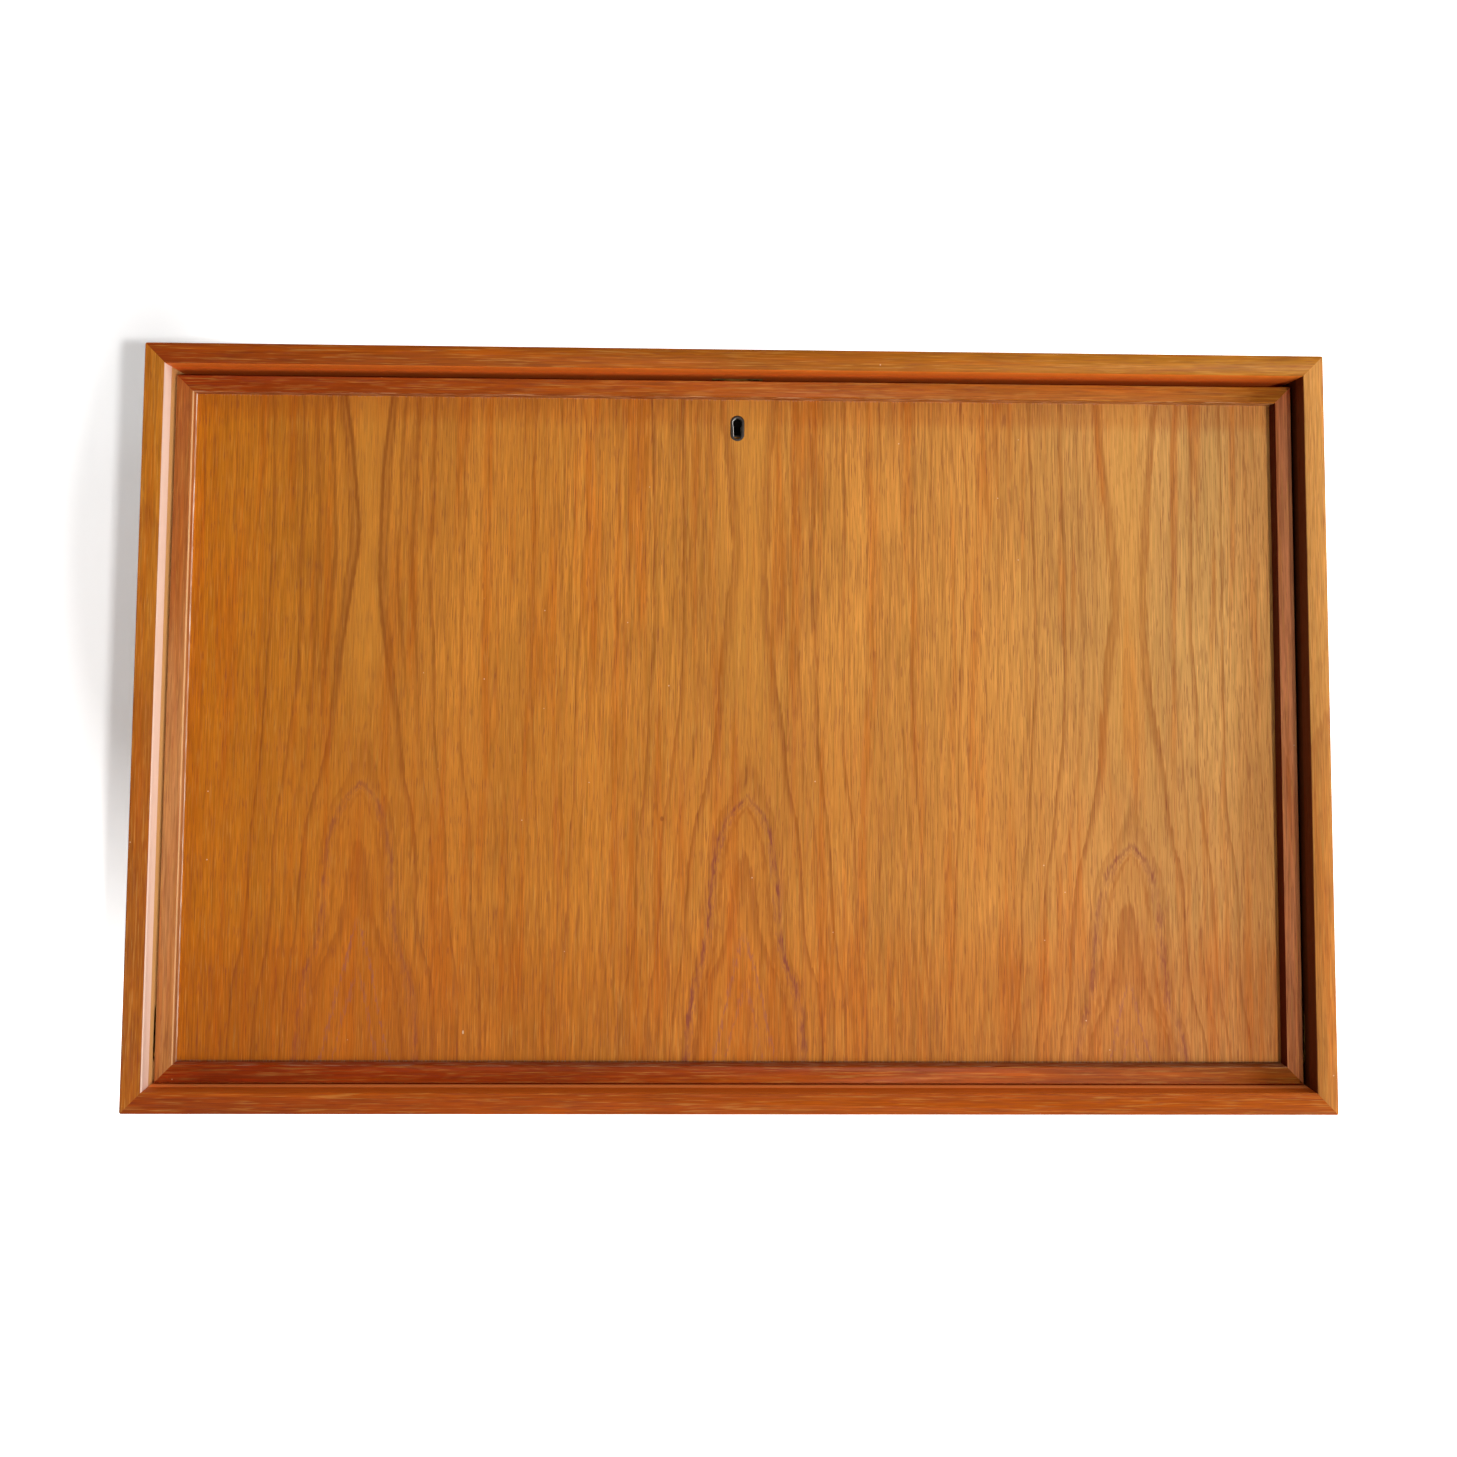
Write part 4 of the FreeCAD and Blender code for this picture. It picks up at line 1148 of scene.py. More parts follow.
@dataclass
class Assembly:
    """Pieces that are made and dressed together.

    The arris is how far their edges are rounded, in millimetres, where two faces meet at more than
    the sharp angle.  Faces that meet at less than the smooth one are shaded as one surface.  Points
    within the weld of each other, and edges flatter than the flat angle, are taken out before.
    """

    arris: float = 0.6
    sharp: float = math.radians(25)
    smooth: float = math.radians(35)
    flat: float = math.radians(0.5)
    weld: float = 0.001

    def dress(self, node: str, material: bpy.types.Material) -> None:
        """Gives a CAD node one material all over.

        Args:
            node: The node's name.
            material: Its finish.
        """
        slots = frame["nodes"][node].data.materials
        slots.clear()
        slots.append(material)
        LOG.info("%s is finished in %s", node, material.name)

    def place_piece(self, piece: bpy.types.Object, node: str, material: bpy.types.Material) -> None:
        """Lets a new piece stand for a CAD node, and ride and be finished as it is.

        Args:
            piece: The new piece.
            node: The node's name.
            material: The piece's finish.
        """
        piece.data.materials.clear()
        piece.data.materials.append(material)
        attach(piece, body_of(frame["nodes"][node])[0])
        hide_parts(node)
        LOG.info("%s stands for %s, in %s", piece.name, node, material.name)

    def is_arris(self, edge: bmesh.types.BMEdge, edges: Edges) -> bool:
        """Whether an edge is rounded.

        Args:
            edge: The edge.
            edges: Which edges of its piece are rounded.

        Returns:
            True for a sharp edge, and for a board only for one of its front face.
        """
        if len(edge.link_faces) != 2 or edge.calc_face_angle() < self.sharp:
            return False
        if edges is Edges.ALL:
            return True
        normals = [face.normal for face in edge.link_faces]
        square = all(max(map(abs, normal)) > SQUARE for normal in normals)
        return square and min(normal.y for normal in normals) < -SQUARE

    def soften(
        self, node: str, material: bpy.types.Material, edges: Edges = Edges.FRONT
    ) -> bpy.types.Object:
        """Makes a copy of a CAD node with rounded edges that stands in its place.

        Args:
            node: The node's name.
            material: The copy's finish.
            edges: Which edges are rounded.

        Returns:
            The copy.
        """
        bpy.ops.object.select_all(action="DESELECT")
        piece = bpy.data.objects.new(f"{node}_rounded", frame["nodes"][node].data.copy())
        bpy.context.scene.collection.objects.link(piece)
        bpy.context.view_layer.objects.active = piece
        piece.select_set(True)
        bpy.ops.object.mode_set(mode="EDIT")
        bpy.ops.mesh.select_all(action="SELECT")
        bpy.ops.mesh.remove_doubles(threshold=self.weld * MM)
        bpy.ops.mesh.dissolve_limited(angle_limit=self.flat)
        pick(piece, Element.EDGE, lambda edge: self.is_arris(edge, edges))
        bpy.ops.mesh.bevel(offset=self.arris * MM, segments=2, clamp_overlap=True)
        bpy.ops.object.mode_set(mode="OBJECT")
        bpy.ops.object.shade_smooth_by_angle(angle=self.smooth)
        self.place_piece(piece, node, material)
        return piece


# Light wood on the edges that hands and the flap have rubbed, and dust that lies in corners
BARE = "#e0a878"
DUST = "#b49478"


@dataclass
class CaseBoards(Assembly):
    """The case's veneered boards and solid front strips.

    Teak, sliced for the boards and sawn for the strips, planed and oiled: orange brown, satin, with
    fine dark pores along the grain.
    """

    strips: dict[str, Timber] = field(
        default_factory=lambda: {
            "lipping_top": Timber(
                "oiled_teak_top_strip", "#893304", "#a2671a", heart=(30.0, 150.0),
                wear_and_painted_light=(
                    # Painted light: the strip's underside in the opening is lightened, as light from below
                    # would
                    WearAndPaintedLight(Axis.Z, 270.0, 0.3, "#de7226", 1.0, 0.1),
                    WearAndPaintedLight(Axis.Z, 286.0, 1.0, BARE, 0.3),
                ),
            ),
            "lipping_bottom": Timber(
                "oiled_teak_bottom_strip", "#913a07", "#a44c0d", heart=(25.0, 130.0),
                wear_and_painted_light=(
                    # Painted light: the strip's upper face in the opening is lightened, as if lit
                    WearAndPaintedLight(Axis.Z, -270.0, 0.5, "#cc6820", 1.0, 0.2),
                    WearAndPaintedLight(Axis.Z, -286.0, 0.9, DUST, 0.5),
                ),
            ),
            "lipping_left": Timber(
                "oiled_teak_left_strip", "#c17522", "#c17522", grain=Grain.UPRIGHT, heart=(-470.0, 60.0),
                tints=(WearAndPaintedLight(Axis.Z, -286.0, 420.0, "#8e4404", 0.85, 0.2),),
                # Painted light: the strip's inner face, turned to the lamps on the right, is near white
                wear_and_painted_light=(WearAndPaintedLight(Axis.X, -434.0, 1.0, "#f2d3c0", 1.0, 0.05),),
                flaws=(Flaw((-424.5, 146.0), (0.8, 1.8), "#5a2c14"),),
            ),
            "lipping_right": Timber(
                "oiled_teak_right_strip", "#b37130", "#b37130", grain=Grain.UPRIGHT, heart=(520.0, 90.0),
                tints=(WearAndPaintedLight(Axis.Z, 286.0, 420.0, "#cc9650", 0.6, 0.3),),
                # Painted shade: the strip's inner face, turned away from the lamps, is near black
                wear_and_painted_light=(WearAndPaintedLight(Axis.X, 434.0, 0.8, "#4c1604", 0.95, 0.0),),
            ),
        }
    )
    level: Timber = Timber(
        "oiled_teak_veneer_level", "#9c5414", "#a86624", heart=(37.0, 160.0), slope=0.07,
        wear_and_painted_light=(
            # Painted light: the boards' faces seen in the gap round the flap are lightened against its
            # shade
            WearAndPaintedLight(Axis.Z, 270.0, 2.0, "#e76c27", 1.0, 0.0, -278.0),
            WearAndPaintedLight(Axis.Z, -270.0, 2.0, "#ff9a50", 1.0, 0.0, -278.0),
        ),
    )
    upright: Timber = Timber(
        "oiled_teak_veneer_upright", "#a06218", "#965a12", grain=Grain.UPRIGHT, heart=(160.0, -150.0),
        slope=0.06,
        wear_and_painted_light=(
            # Painted light: the left side's inner face near the front is pale, turned to the lamps
            WearAndPaintedLight(Axis.X, -434.0, 0.5, "#dca868", 0.9, 0.1, -270.0),
            # Painted shade: the right side's inner face near the front is near black, turned away from
            # them
            WearAndPaintedLight(Axis.X, 434.0, 2.0, "#301003", 0.95, 0.0, -278.0),
        ),
    )
    arris: float = 0.8

    def build(self) -> None:
        """Dresses the boards and makes the strips."""
        for node, timber in self.strips.items():
            self.soften(node, WoodFinish(timber).build())
        level, upright = WoodFinish(self.level).build(), WoodFinish(self.upright).build()
        for node in ("case_top", "case_bottom"):
            self.dress(node, level)
        for node in ("case_side_left", "case_side_right"):
            self.dress(node, upright)


@dataclass
class FlapBoards(Assembly):
    """The flap's veneered panel and its raised rim, in the same oiled teak."""

    panel: Timber = Timber(
        # Painted light and sheen: the veneer is paler towards the right, where the lamps fall
        "oiled_teak_flap_veneer", "#be6e10", "#c89656", grain=Grain.UPRIGHT, ring=6.6, ring_depth=0.6,
        streak=0.25, pore_depth=0.35, line_depth=0.3,
        tints=(
            WearAndPaintedLight(Axis.Z, -256.0, 330.0, "#b45404", 0.2, 0.2),
            WearAndPaintedLight(Axis.Z, -256.0, 120.0, "#a04404", 0.4, 0.2),
            WearAndPaintedLight(Axis.X, 30.0, 290.0, "#c47410", 0.3, 0.0),
            WearAndPaintedLight(Axis.X, 419.6, 40.0, "#b05a18", 0.25, 0.1),
            WearAndPaintedLight(Axis.X, -419.6, 30.0, "#a05a10", 0.3, 0.1),
            WearAndPaintedLight(Axis.Z, 252.5, 25.0, "#a85010", 0.35, 0.2),
        ),
        wear_and_painted_light=(
            WearAndPaintedLight(Axis.Z, -256.0, 1.6, DUST, 0.5, 0.7),
            WearAndPaintedLight(Axis.Z, 252.5, 1.2, "#b8806a", 0.5),
        ),
        flaws=(
            Flaw((-205.0, -234.0), (0.7, 1.6), "#e6c8a4"),
            Flaw((-56.0, -73.0), (1.6, 2.2), "#7e3a1c", 0.6),
            Flaw((9.0, -38.0), (0.7, 9.0), "#7a3a20", 0.5),
        ),
    )
    rims: dict[str, Timber] = field(
        default_factory=lambda: {
            "flap_rim_top": Timber(
                "oiled_teak_top_rim", "#822c04", "#a6601a", slope=0.12, heart=(20.0, 40.0), fleck=0.12,
                wear_and_painted_light=(WearAndPaintedLight(Axis.Z, 252.5, 0.6, BARE, 0.6),),
            ),
            "flap_rim_bottom": Timber(
                "oiled_teak_bottom_rim", "#ab380a", "#844416", slope=0.09, heart=(30.0, 50.0), fleck=0.1,
                tints=(WearAndPaintedLight(Axis.X, 0.0, 240.0, "#6e2a06", 0.4, 0.1),),
                wear_and_painted_light=(
                    WearAndPaintedLight(Axis.Z, -256.0, 0.6, DUST, 0.4),
                    # Painted light: the rim's lower edge is lightened over the shaded gap under it
                    WearAndPaintedLight(Axis.Z, -269.0, 1.2, "#e07830", 0.8, 0.0),
                ),
            ),
            "flap_rim_left": Timber(
                "oiled_teak_left_rim", "#b47845", "#b47845", grain=Grain.UPRIGHT, heart=(-350.0, 60.0),
                tints=(WearAndPaintedLight(Axis.Z, 265.5, 240.0, "#9c4e14", 0.7, 0.1),),
                wear_and_painted_light=(
                    # Painted highlights: two pale lines on the rim's inner wall, which faces the lamps on
                    # the right
                    WearAndPaintedLight(Axis.Y, -300.6, 1.4, "#f2c690", 0.95, 0.15),
                    WearAndPaintedLight(Axis.Y, -293.0, 2.4, "#fff0dc", 1.0, 0.75),
                ),
            ),
            "flap_rim_right": Timber(
                # Painted light: the rim's colour is lighter to make up for the right strip's shadow on it
                "oiled_teak_right_rim", "#ce8153", "#ce8153", grain=Grain.UPRIGHT, heart=(380.0, 60.0),
                # Painted shade: the rim's inner wall, turned away from the lamps, is near black
                wear_and_painted_light=(WearAndPaintedLight(Axis.X, 419.6, 0.8, "#4c1002", 1.0, 0.0),),
            ),
        }
    )
    arris: float = 0.7

    def build(self) -> None:
        """Dresses the panel and makes the rim."""
        self.dress("flap_panel", PanelFinish(self.panel, Leaves()).build())
        for node, timber in self.rims.items():
            self.soften(node, WoodFinish(timber).build())


@dataclass
class Interior(Assembly):
    """The bed, the fitted boards, the back and the rails.

    Light has not reached the teak inside, so it is paler and yellower.  The back is plywood with a
    teak face, and the rails are pine: pale, with broad soft rings and hardly any pores.
    """

    bed: Timber = Timber("oiled_teak_bed_veneer", "#b5712c", "#bd7c38", heart=(37.0, 140.0))
    nose: Timber = Timber("oiled_teak_nose", "#a8602a", "#b06c34", heart=(20.0, 90.0))
    shelf: Timber = Timber("teak_veneer_shelves", "#bd8038", "#c08440", heart=(37.0, 150.0))
    upright: Timber = Timber(
        "teak_veneer_dividers", "#bd8038", "#c08440", grain=Grain.UPRIGHT, heart=(140.0, -150.0)
    )
    back: Timber = Timber(
        "teak_faced_plywood", "#b67a38", "#b87c3c", grain=Grain.UPRIGHT, heart=(60.0, -120.0), slope=0.12,
        ring=9.0,
    )
    softwood: Timber = Timber(
        "planed_pine", "#d0a468", "#d4aa70", late="#a8703a", warm="#cc9a5c", pore="#b98a54", ring=3.6,
        ring_depth=0.6, streak=0.1, pore_depth=0.12, roughness=0.6,
    )
    arris: float = 0.5

    def build(self) -> None:
        """Dresses the bed, back and rails, and makes the boards with worn front edges."""
        bed, back, pine, nose, shelf, upright = (
            WoodFinish(timber).build()
            for timber in (self.bed, self.back, self.softwood, self.nose, self.shelf, self.upright)
        )
        self.dress("writing_bed", bed)
        self.dress("back_panel", back)
        for node in (
            "hanging_rail_top", "hanging_rail_bottom", "bed_front_rail", "bed_rear_rail", "corner_splines",
        ):
            self.dress(node, pine)
        for node in ("bed_nose", "stop_rail"):
            self.soften(node, nose)
        for node in ("pigeonhole_shelf", "upper_shelf"):
            self.soften(node, shelf)
        for node in (
            "inner_side_left", "inner_side_right", "pigeonhole_divider_left", "pigeonhole_divider_right",
            "letter_divider_left", "letter_divider_right", "upper_divider",
        ):
            self.soften(node, upright)


@dataclass
class KeyholeLining(Assembly):
    """The keyhole's lining: an upright oval sleeve with a round eye and a narrower leg.

    It is blackened steel, nearly black, with a painted highlight on the left of its lip.  Lengths are
    in millimetres, and points within the tolerance of its middle lie in neither half.
    """

    # Its lip gets a painted highlight on its left side
    metal: Metal = Metal(
        "blackened_steel_lining", "#6e6862", "#4a4540", roughness=0.24, cloud=3.0, hidden=-291.0,
        dull="#5c554f", highlight_way=(0.85, -0.35, -0.4),
    )
    width: float = 10.8
    height: float = 20.0
    front: float = -292.9
    depth: float = 4.6
    top: float = 240.0
    eye: float = 7.2
    leg: float = 5.4
    key_height: float = 234.0
    leg_rim: float = 1.6
    lip: float = 0.8
    tolerance: float = 0.01
    sides: int = 48
    smooth: float = math.radians(40)

    @property
    def stretch(self) -> float:
        """How far each half of the bar is drawn up or down."""
        return (self.height - self.width) / 2

    def bar(self) -> bpy.types.Object:
        """Models an upright oval bar at the origin, from a round one drawn apart at its middle.

        Returns:
            The bar, in edit mode.
        """
        bpy.ops.object.select_all(action="DESELECT")
        bpy.ops.mesh.primitive_cylinder_add(
            vertices=self.sides,
            radius=self.width / 2 * MM,
            depth=self.depth * MM,
            rotation=(math.radians(90), 0.0, 0.0),
        )
        piece = bpy.context.object
        piece.name = "keyhole_lining"
        bpy.ops.object.transform_apply(location=True, rotation=True, scale=True)
        bpy.ops.object.mode_set(mode="EDIT")
        for way in (1, -1):
            pick(piece, Element.VERTEX, lambda vertex: vertex.co.z * way > self.tolerance * MM)
            bpy.ops.transform.translate(value=(0.0, 0.0, way * self.stretch * MM))
        return piece

    def cut(self, piece: bpy.types.Object) -> None:
        """Cuts the eye and the leg, from a smaller outline on both ends that is joined through.

        Args:
            piece: The bar, in edit mode.
        """
        pick(piece, Element.FACE, lambda face: abs(face.normal.y) > FACING)
        bpy.ops.mesh.inset(thickness=(self.width - self.eye) / 2 * MM, use_individual=True)
        shape = bmesh.from_edit_mesh(piece.data)
        middle = self.top - self.height / 2
        raised = self.key_height - middle - self.stretch
        leg_middle = self.leg_rim - self.height / 2 + self.leg / 2
        narrow = self.leg / self.eye
        for vertex in {v for face in shape.faces if face.select for v in face.verts}:
            x, z = vertex.co.x / MM, vertex.co.z / MM
            if z > 0:
                z += raised
            else:
                x, z = x * narrow, leg_middle + (z + self.stretch) * narrow
            vertex.co.x, vertex.co.z = x * MM, z * MM
        bmesh.update_edit_mesh(piece.data)
        bpy.ops.mesh.bridge_edge_loops()

    def on_lip(self, edge: bmesh.types.BMEdge) -> bool:
        """Whether an edge lies on the front lip.

        Args:
            edge: The edge.

        Returns:
            True for a sharp edge of the front face.
        """
        in_front = all(vertex.co.y < 0 for vertex in edge.verts)
        return in_front and edge.calc_face_angle(0.0) > self.sharp

    def model(self) -> bpy.types.Object:
        """Models the sleeve, with a rounded lip.

        Returns:
            The sleeve, with its place in its mesh.
        """
        piece = self.bar()
        self.cut(piece)
        pick(piece, Element.EDGE, self.on_lip)
        bpy.ops.mesh.bevel(offset=self.lip * MM, segments=4, clamp_overlap=True)
        bpy.ops.mesh.select_all(action="SELECT")
        bpy.ops.mesh.normals_make_consistent(inside=False)
        bpy.ops.object.mode_set(mode="OBJECT")
        middle = Vector((0.0, self.front + self.depth / 2, self.top - self.height / 2)) * MM
        piece.data.transform(Matrix.Translation(middle))
        bpy.ops.object.shade_smooth_by_angle(angle=self.smooth)
        return piece

    def build(self) -> None:
        """Makes the lining."""
        self.place_piece(self.model(), "keyhole_escutcheon", MetalFinish(self.metal).build())


# A screw's place, and the way that it goes in
Seat = tuple[Point, Point]


@dataclass
class Screws(Assembly):
    """The slotted countersunk screws, in millimetres: their shape, and where they sit.

    They are turned brass that nobody cleans, dull yellow with brown stains.  The turns are how far
    each slot is turned, in radians.
    """

    metal: Metal = Metal("brass_screw", "#b98f44", "#7a5a2a", roughness=0.34, cloud=1.6)
    head: float = 5.0
    shank: float = 2.6
    cone: float = 1.2
    length: float = 12.0
    slot_width: float = 0.75
    slot_depth: float = 0.7
    rim: float = 0.12
    sides: int = 32
    case: tuple[Seat, ...] = (
        ((434.0, -294.5, -219.0), (1, 0, 0)), ((434.0, -294.5, -230.75), (1, 0, 0)),
        ((-434.0, -294.5, -219.0), (-1, 0, 0)), ((-434.0, -294.5, -230.75), (-1, 0, 0)),
        ((-15.0, -282.4, 270.0), (0, 0, 1)), ((15.0, -282.4, 270.0), (0, 0, 1)),
    )
    flap: tuple[Seat, ...] = (
        ((432.6, -294.5, -219.0), (-1, 0, 0)), ((432.6, -294.5, -230.75), (-1, 0, 0)),
        ((-432.6, -294.5, -219.0), (1, 0, 0)), ((-432.6, -294.5, -230.75), (1, 0, 0)),
        ((413.7, -274.5, -101.0), (0, -1, 0)), ((413.7, -274.5, -87.0), (0, -1, 0)),
        ((-413.7, -274.5, -101.0), (0, -1, 0)), ((-413.7, -274.5, -87.0), (0, -1, 0)),
        ((-23.5, -276.5, 234.0), (0, -1, 0)), ((23.5, -276.5, 234.0), (0, -1, 0)),
    )
    turns: tuple[float, ...] = (0.35, 1.2, 2.5, 0.8, 2.0, 2.9, 0.1, 1.6, 2.2, 1.0)

    def model(self) -> bpy.types.Object:
        """Models one screw with its head's face at the origin, going down.

        Returns:
            The screw.
        """
        bpy.ops.object.select_all(action="DESELECT")
        bpy.ops.mesh.primitive_cone_add(
            vertices=self.sides,
            radius1=self.shank / 2 * MM,
            radius2=self.head / 2 * MM,
            depth=self.cone * MM,
            location=(0.0, 0.0, -self.cone / 2 * MM),
        )
        screw = bpy.context.object
        bpy.ops.object.transform_apply(location=True, rotation=True, scale=True)
        bpy.ops.object.mode_set(mode="EDIT")
        pick(screw, Element.FACE, lambda face: face.normal.z < -FACING)
        down = (self.length - self.cone) * MM
        bpy.ops.mesh.extrude_region_move(TRANSFORM_OT_translate={"value": (0.0, 0.0, -down)})
        pick(screw, Element.FACE, lambda face: face.normal.z > FACING)
        bpy.ops.mesh.region_to_loop()
        bpy.ops.mesh.bevel(offset=self.rim * MM, segments=2)
        bpy.ops.object.mode_set(mode="OBJECT")
        self.slot(screw)
        return screw

    def slot(self, screw: bpy.types.Object) -> None:
        """Cuts the slot into a screw's head.

        Args:
            screw: The screw.
        """
        bpy.ops.object.select_all(action="DESELECT")
        bpy.ops.mesh.primitive_cube_add(size=1.0)
        cutter = bpy.context.object
        # It reaches past the head on both sides, and its middle lies in the head's face
        cutter.scale = Vector((self.head * 1.2, self.slot_width, self.slot_depth * 2)) * MM
        bpy.context.view_layer.objects.active = screw
        cut = screw.modifiers.new("slot", "BOOLEAN")
        cut.object, cut.operation, cut.solver = cutter, "DIFFERENCE", "EXACT"
        bpy.ops.object.modifier_apply(modifier=cut.name)
        bpy.data.objects.remove(cutter)

    def fit(self, name: str, node: str, seats: tuple[Seat, ...], finish: bpy.types.Material) -> None:
        """Copies the screw to each seat and joins the copies to one piece.

        Args:
            name: The piece's name.
            node: The CAD node that it stands for.
            seats: Each screw's place and the way it goes in.
            finish: The piece's material.
        """
        pattern = self.model()
        bpy.ops.object.select_all(action="DESELECT")
        copies = []
        for (place, way), turn in zip(seats, self.turns):
            aim = Vector(way).to_track_quat("-Z", "Y").to_matrix().to_4x4()
            put = Matrix.Translation(Vector(place) * MM) @ aim @ Matrix.Rotation(turn, 4, "Z")
            copy = bpy.data.objects.new(name, pattern.data.copy())
            copy.data.transform(put)
            bpy.context.scene.collection.objects.link(copy)
            copy.select_set(True)
            copies.append(copy)
        bpy.data.objects.remove(pattern)
        bpy.context.view_layer.objects.active = copies[0]
        bpy.ops.object.join()
        bpy.ops.object.shade_smooth_by_angle(angle=self.smooth)
        self.place_piece(copies[0], node, finish)

    def build(self) -> None:
        """Makes the case's and the flap's screws."""
        finish = MetalFinish(self.metal).build()
        self.fit("case_slotted_screws", "case_screws", self.case, finish)
        self.fit("flap_slotted_screws", "flap_screws", self.flap, finish)


@dataclass
class Fittings(Assembly):
    """Hinges, stays, lock and buffers.

    The hinges, stays and plates are pressed and turned brass, warm yellow where hands clean it and
    brown in its hollows.  The lock's works are plain steel, grey and dull.
    """

    brass: Metal = Metal("tarnished_brass", "#c8a24e", "#a07a38", cloud=12.0)
    # Painted shade: past its hidden depth, toward the keyhole, the plate is nearly black
    lock: Metal = Metal("lock_brass", "#c4a050", "#a27c3a", cloud=12.0, hidden=-276.8)
    strike: Metal = Metal("dull_brass_plate", "#dcae5e", "#b98a45", roughness=0.5, bare=0.35)
    steel: Metal = Metal("plain_steel", "#77736e", "#4e4944", roughness=0.4)
    hinge_brass: Metal = Metal("hinge_brass", "#b8924a", "#7c5a26", roughness=0.36)
    arris: float = 0.25

    def build(self) -> None:
        """Makes the metal fittings and the felt discs."""
        brass, steel, hinge, strike, lock = (
            MetalFinish(metal).build()
            for metal in (self.brass, self.steel, self.hinge_brass, self.strike, self.lock)
        )
        for node in ("hinge_plate_left", "hinge_plate_right", "hinge_leaf_left", "hinge_leaf_right"):
            self.soften(node, hinge, Edges.ALL)
        for node in (
            "stay_arm_left", "stay_arm_right", "stay_stud_left", "stay_stud_right", "stay_bracket_left",
            "stay_bracket_right",
        ):
            self.soften(node, brass, Edges.ALL)
        self.soften("strike_plate", strike, Edges.ALL)
        self.soften("lock_plate", lock, Edges.ALL)
        for node in ("lock_housing", "lock_bolt"):
            self.soften(node, steel, Edges.ALL)
        self.dress("lock_spring", steel)
        self.soften("felt_buffers", Felt().build(), Edges.ALL)


@dataclass(frozen=True)
class Lamp:
    """A soft rectangular lamp: its place and size in metres, its power in watts, and whether it shows
    in a mirror.
    """

    name: str
    place: Point
    size: Pair
    power: float
    mirrored: bool = True


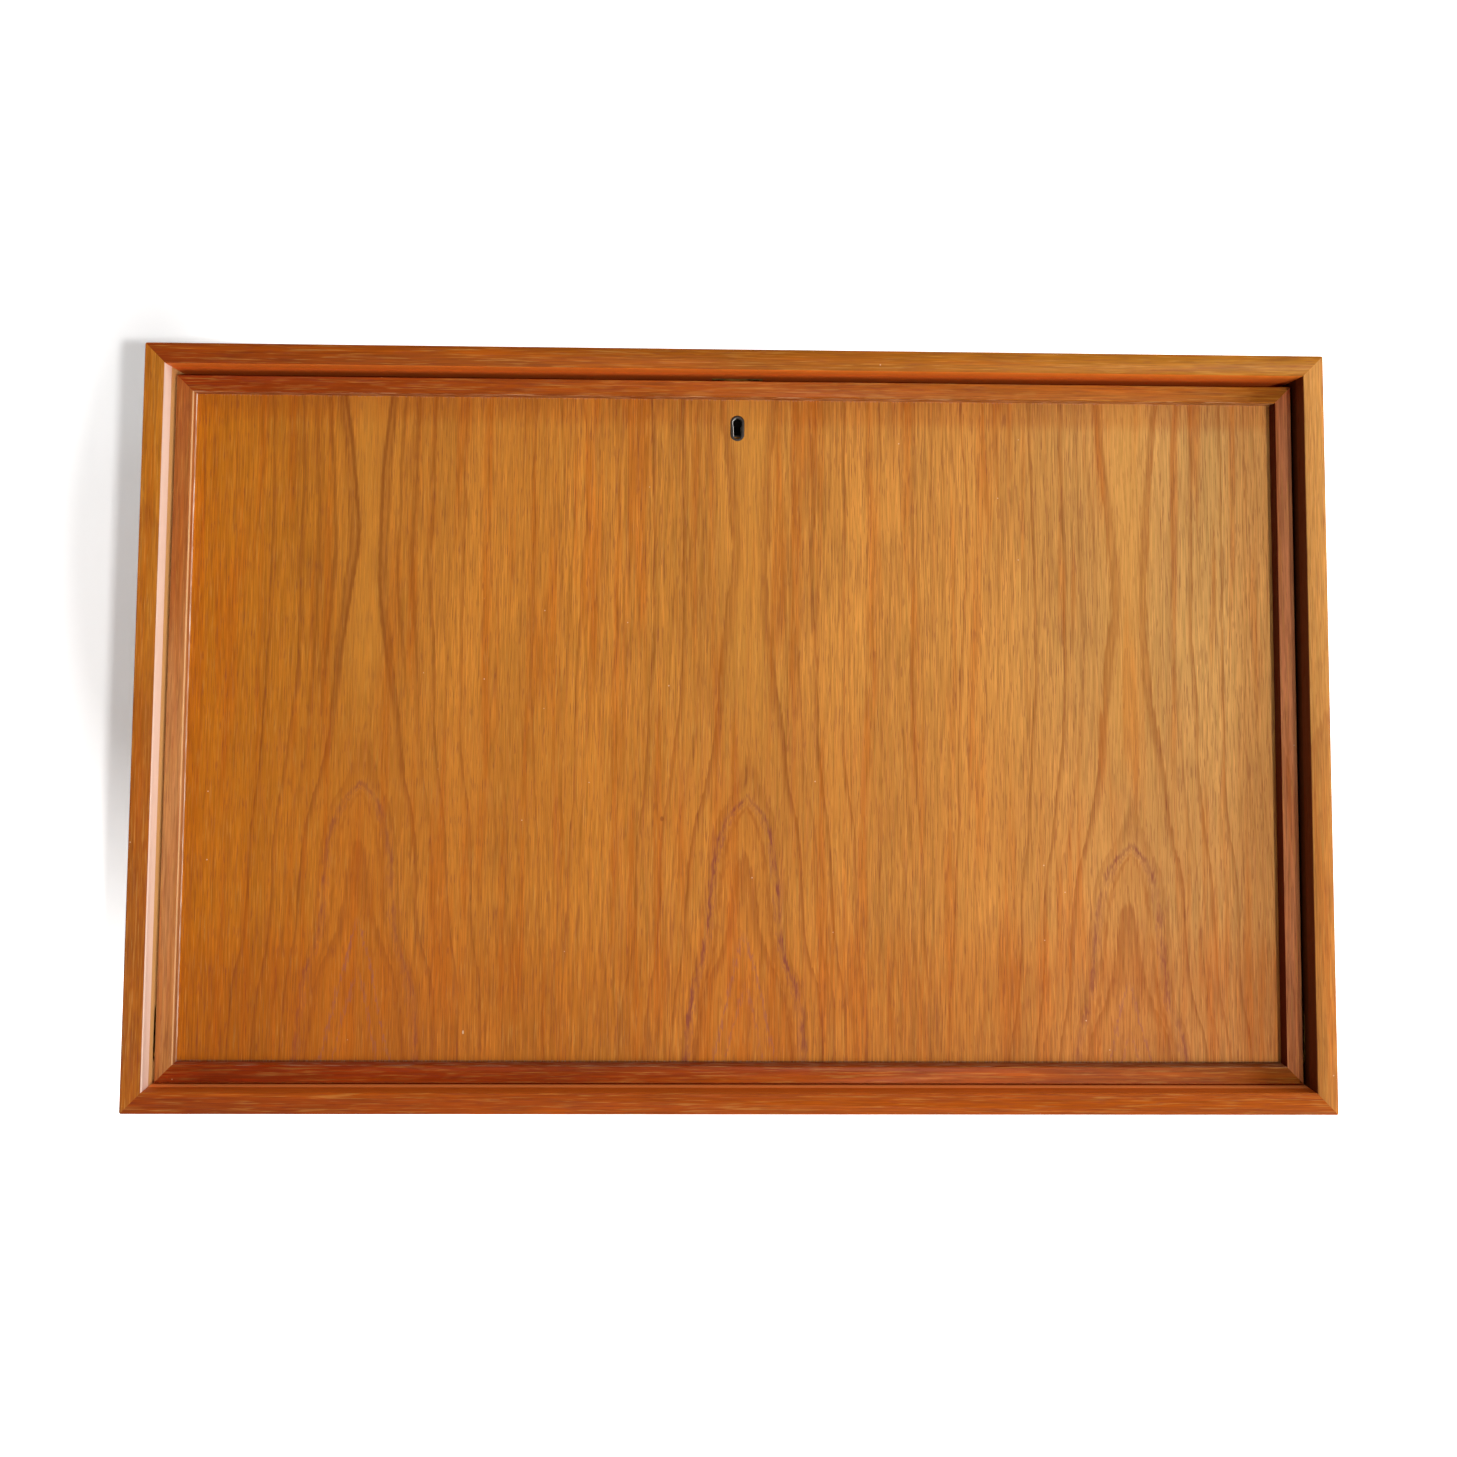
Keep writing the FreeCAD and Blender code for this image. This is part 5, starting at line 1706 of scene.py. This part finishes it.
@dataclass
class Studio:
    """A pale wall and floor, the lamps and the camera, in metres and degrees.

    The surroundings are how bright the world is for the light that falls on the object, and the
    mirrored share is how bright it looks in a mirror.  The wall's shade is an oval beside the
    object: coordinates are multiplied by its shape and moved by its middle, and its glow then
    rises from the near distance to the far one.
    """

    camera_place: Point = (-0.03298, -1.29918, 0.04178)
    camera_turn: Point = (93.4701, -0.4155, -1.1099)
    lens: float = 32.12
    sensor: float = 36.0
    shift: Pair = (0.00693, -0.09472)
    floor_height: float = -1.05
    wall_half: float = 3.0
    wall_margin: float = 0.001
    wall_gap: float = 0.0005
    aim: Point = (0.0, -0.3, 0.0)
    lamps: tuple[Lamp, ...] = (
        Lamp("key", (1.56, -4.32, -0.74), (0.12, 0.12), 100.0, False),
        Lamp("window", (2.3, -1.0, 0.3), (0.8, 2.0), 30.0),
        Lamp("ceiling", (0.4, -1.3, 1.7), (1.6, 1.6), 8.0),
        Lamp("bounce", (0.4, -1.7, -0.98), (1.6, 1.2), 7.0, False),
        Lamp("left", (-2.4, -0.5, 0.5), (0.8, 1.6), 14.0, False),
        Lamp("rear", (-0.8, 2.2, 0.9), (1.2, 1.2), 30.0),
    )
    surroundings: float = 0.06
    mirrored: float = 0.2
    shade_shape: Point = (2.2, 0.0, 0.7)
    shade_middle: Point = (1.28, 0.0, -0.12)
    shade_near: float = 0.14
    shade_far: float = 0.36
    wall_tone: str = "#fcfcfc"
    wall_glow: float = 0.18
    floor_tone: str = "#e6e6e4"
    floor_glow: float = 0.4

    def seen(self, tree: bpy.types.NodeTree) -> Socket:
        """Whether the camera, a mirror or a clear material looks at a surface.

        Args:
            tree: The surface's node tree.

        Returns:
            1 where one of them looks, and 0 where only light falls.
        """
        path = add(tree, "ShaderNodeLightPath").node.outputs
        through = {0: path["Is Glossy Ray"], 1: path["Is Transmission Ray"]}
        reflected = add(tree, "ShaderNodeMath", through, operation="MAXIMUM")
        return add(tree, "ShaderNodeMath", {0: path["Is Camera Ray"], 1: reflected}, operation="MAXIMUM")

    def pale(self, name: str, tone: str, glow: float) -> bpy.types.Material:
        """Matt paint that shows as an even white ground, and clear from behind.

        The brightness that it adds for the eye is least in an oval beside the object's left edge,
        where the object's soft shadow falls, and reaches white around it.

        Args:
            name: The material's name.
            tone: Its colour.
            glow: How much brightness it adds in the oval.

        Returns:
            The material.
        """
        material = empty_material(name)
        tree = material.node_tree
        own = add(tree, "ShaderNodeTexCoord").node.outputs["Object"]
        oval = {0: own, 1: self.shade_shape, 2: self.shade_middle}
        about = add(tree, "ShaderNodeVectorMath", oval, operation="MULTIPLY_ADD")
        away = add(tree, "ShaderNodeVectorMath", {0: about}, operation="LENGTH")
        rising = {0: away, 1: self.shade_near, 2: self.shade_far, 3: glow, 4: 1.0}
        glowing = add(tree, "ShaderNodeMapRange", rising)
        strength = add(tree, "ShaderNodeMath", {0: self.seen(tree), 1: glowing}, operation="MULTIPLY")
        matt = add(tree, "ShaderNodeBsdfDiffuse", {"Color": linear(tone)})
        light = add(tree, "ShaderNodeEmission", {"Strength": strength})
        front = add(tree, "ShaderNodeAddShader", {0: matt, 1: light})
        clear = add(tree, "ShaderNodeBsdfTransparent")
        behind = add(tree, "ShaderNodeNewGeometry").node.outputs["Backfacing"]
        both = add(tree, "ShaderNodeMixShader", {0: behind, 1: front, 2: clear})
        add(tree, "ShaderNodeOutputMaterial", {"Surface": both})
        return material

    def build_wall(self) -> None:
        """The wall, cut away behind the case so that its back can be seen."""
        high = CAD_BOX[1]
        bpy.ops.object.select_all(action="DESELECT")
        bpy.ops.mesh.primitive_plane_add(
            size=self.wall_half * 2,
            location=(0.0, high.y + self.wall_gap, self.floor_height + self.wall_half),
            rotation=(math.radians(90), 0.0, 0.0),
        )
        wall = bpy.context.object
        wall.name = "wall"
        bpy.ops.object.transform_apply(location=True, rotation=True, scale=True)
        bpy.ops.object.mode_set(mode="EDIT")
        wide, tall = high.x - self.wall_margin, high.z - self.wall_margin
        for normal, reach in (((1, 0, 0), wide), ((0, 0, 1), tall)):
            for side in (-1, 1):
                bpy.ops.mesh.select_all(action="SELECT")
                bpy.ops.mesh.bisect(plane_co=Vector(normal) * side * reach, plane_no=normal)

        def is_hidden(face: bmesh.types.BMFace) -> bool:
            """Whether a face lies behind the case."""
            middle = face.calc_center_median()
            return abs(middle.x) < wide and abs(middle.z) < tall

        pick(wall, Element.FACE, is_hidden)
        bpy.ops.mesh.delete(type="FACE")
        bpy.ops.object.mode_set(mode="OBJECT")
        wall.data.materials.append(self.pale("matt_white_wall", self.wall_tone, self.wall_glow))

    def build_floor(self) -> None:
        """The floor, from the wall outwards."""
        bpy.ops.object.select_all(action="DESELECT")
        bpy.ops.mesh.primitive_plane_add(
            size=self.wall_half * 2, location=(0.0, -self.wall_half, self.floor_height)
        )
        floor = bpy.context.object
        floor.name = "floor"
        floor.data.materials.append(self.pale("matt_pale_floor", self.floor_tone, self.floor_glow))

    def build_lamps(self) -> None:
        """The lamps, which all point at the same place."""
        for lamp in self.lamps:
            data = bpy.data.lights.new(lamp.name, "AREA")
            data.shape = "RECTANGLE"
            data.size, data.size_y = lamp.size
            data.energy = lamp.power
            light = bpy.data.objects.new(lamp.name, data)
            light.location = lamp.place
            way = Vector(self.aim) - Vector(lamp.place)
            light.rotation_euler = way.to_track_quat("-Z", "Y").to_euler()
            light.visible_camera = False
            light.visible_glossy = lamp.mirrored
            bpy.context.scene.collection.objects.link(light)

    def build_surroundings(self) -> None:
        """Pale surroundings that light the object only weakly, and show dimmer in a mirror."""
        world = bpy.data.worlds.new("surroundings")
        world.use_nodes = True
        tree = world.node_tree
        tree.nodes.clear()
        path = add(tree, "ShaderNodeLightPath").node.outputs
        looked = {0: path["Is Glossy Ray"], 1: self.mirrored, 2: path["Is Camera Ray"]}
        seen = add(tree, "ShaderNodeMath", looked, operation="MULTIPLY_ADD")
        seen = add(tree, "ShaderNodeMath", {0: seen, 1: path["Is Transmission Ray"]}, operation="MAXIMUM")
        strength = add(tree, "ShaderNodeMapRange", {0: seen, 3: self.surroundings, 4: 1.0})
        sky = add(tree, "ShaderNodeBackground", {"Strength": strength})
        add(tree, "ShaderNodeOutputWorld", {"Surface": sky})
        bpy.context.scene.world = world

    def build_camera(self) -> None:
        """The camera, at the photograph's angle."""
        data = bpy.data.cameras.new("camera")
        data.sensor_width = self.sensor
        data.lens = self.lens
        data.shift_x, data.shift_y = self.shift
        camera = bpy.data.objects.new("camera", data)
        camera.location = self.camera_place
        camera.rotation_euler = Euler([math.radians(turn) for turn in self.camera_turn])
        bpy.context.scene.collection.objects.link(camera)
        bpy.context.scene.camera = camera

    def build(self) -> None:
        """Makes the whole studio."""
        bpy.context.scene.view_settings.view_transform = "Standard"
        self.build_wall()
        self.build_floor()
        self.build_lamps()
        self.build_surroundings()
        self.build_camera()


def main() -> None:
    """Builds and dresses each sub-assembly in order."""
    logging.basicConfig(level=logging.INFO, format="%(name)s: %(message)s")
    for part in (
        CaseBoards(), FlapBoards(), Interior(), KeyholeLining(), Screws(), Fittings(), Studio()
    ):
        part.build()
        LOG.info("%s is done", type(part).__name__)


if __name__ == "__main__":
    main()
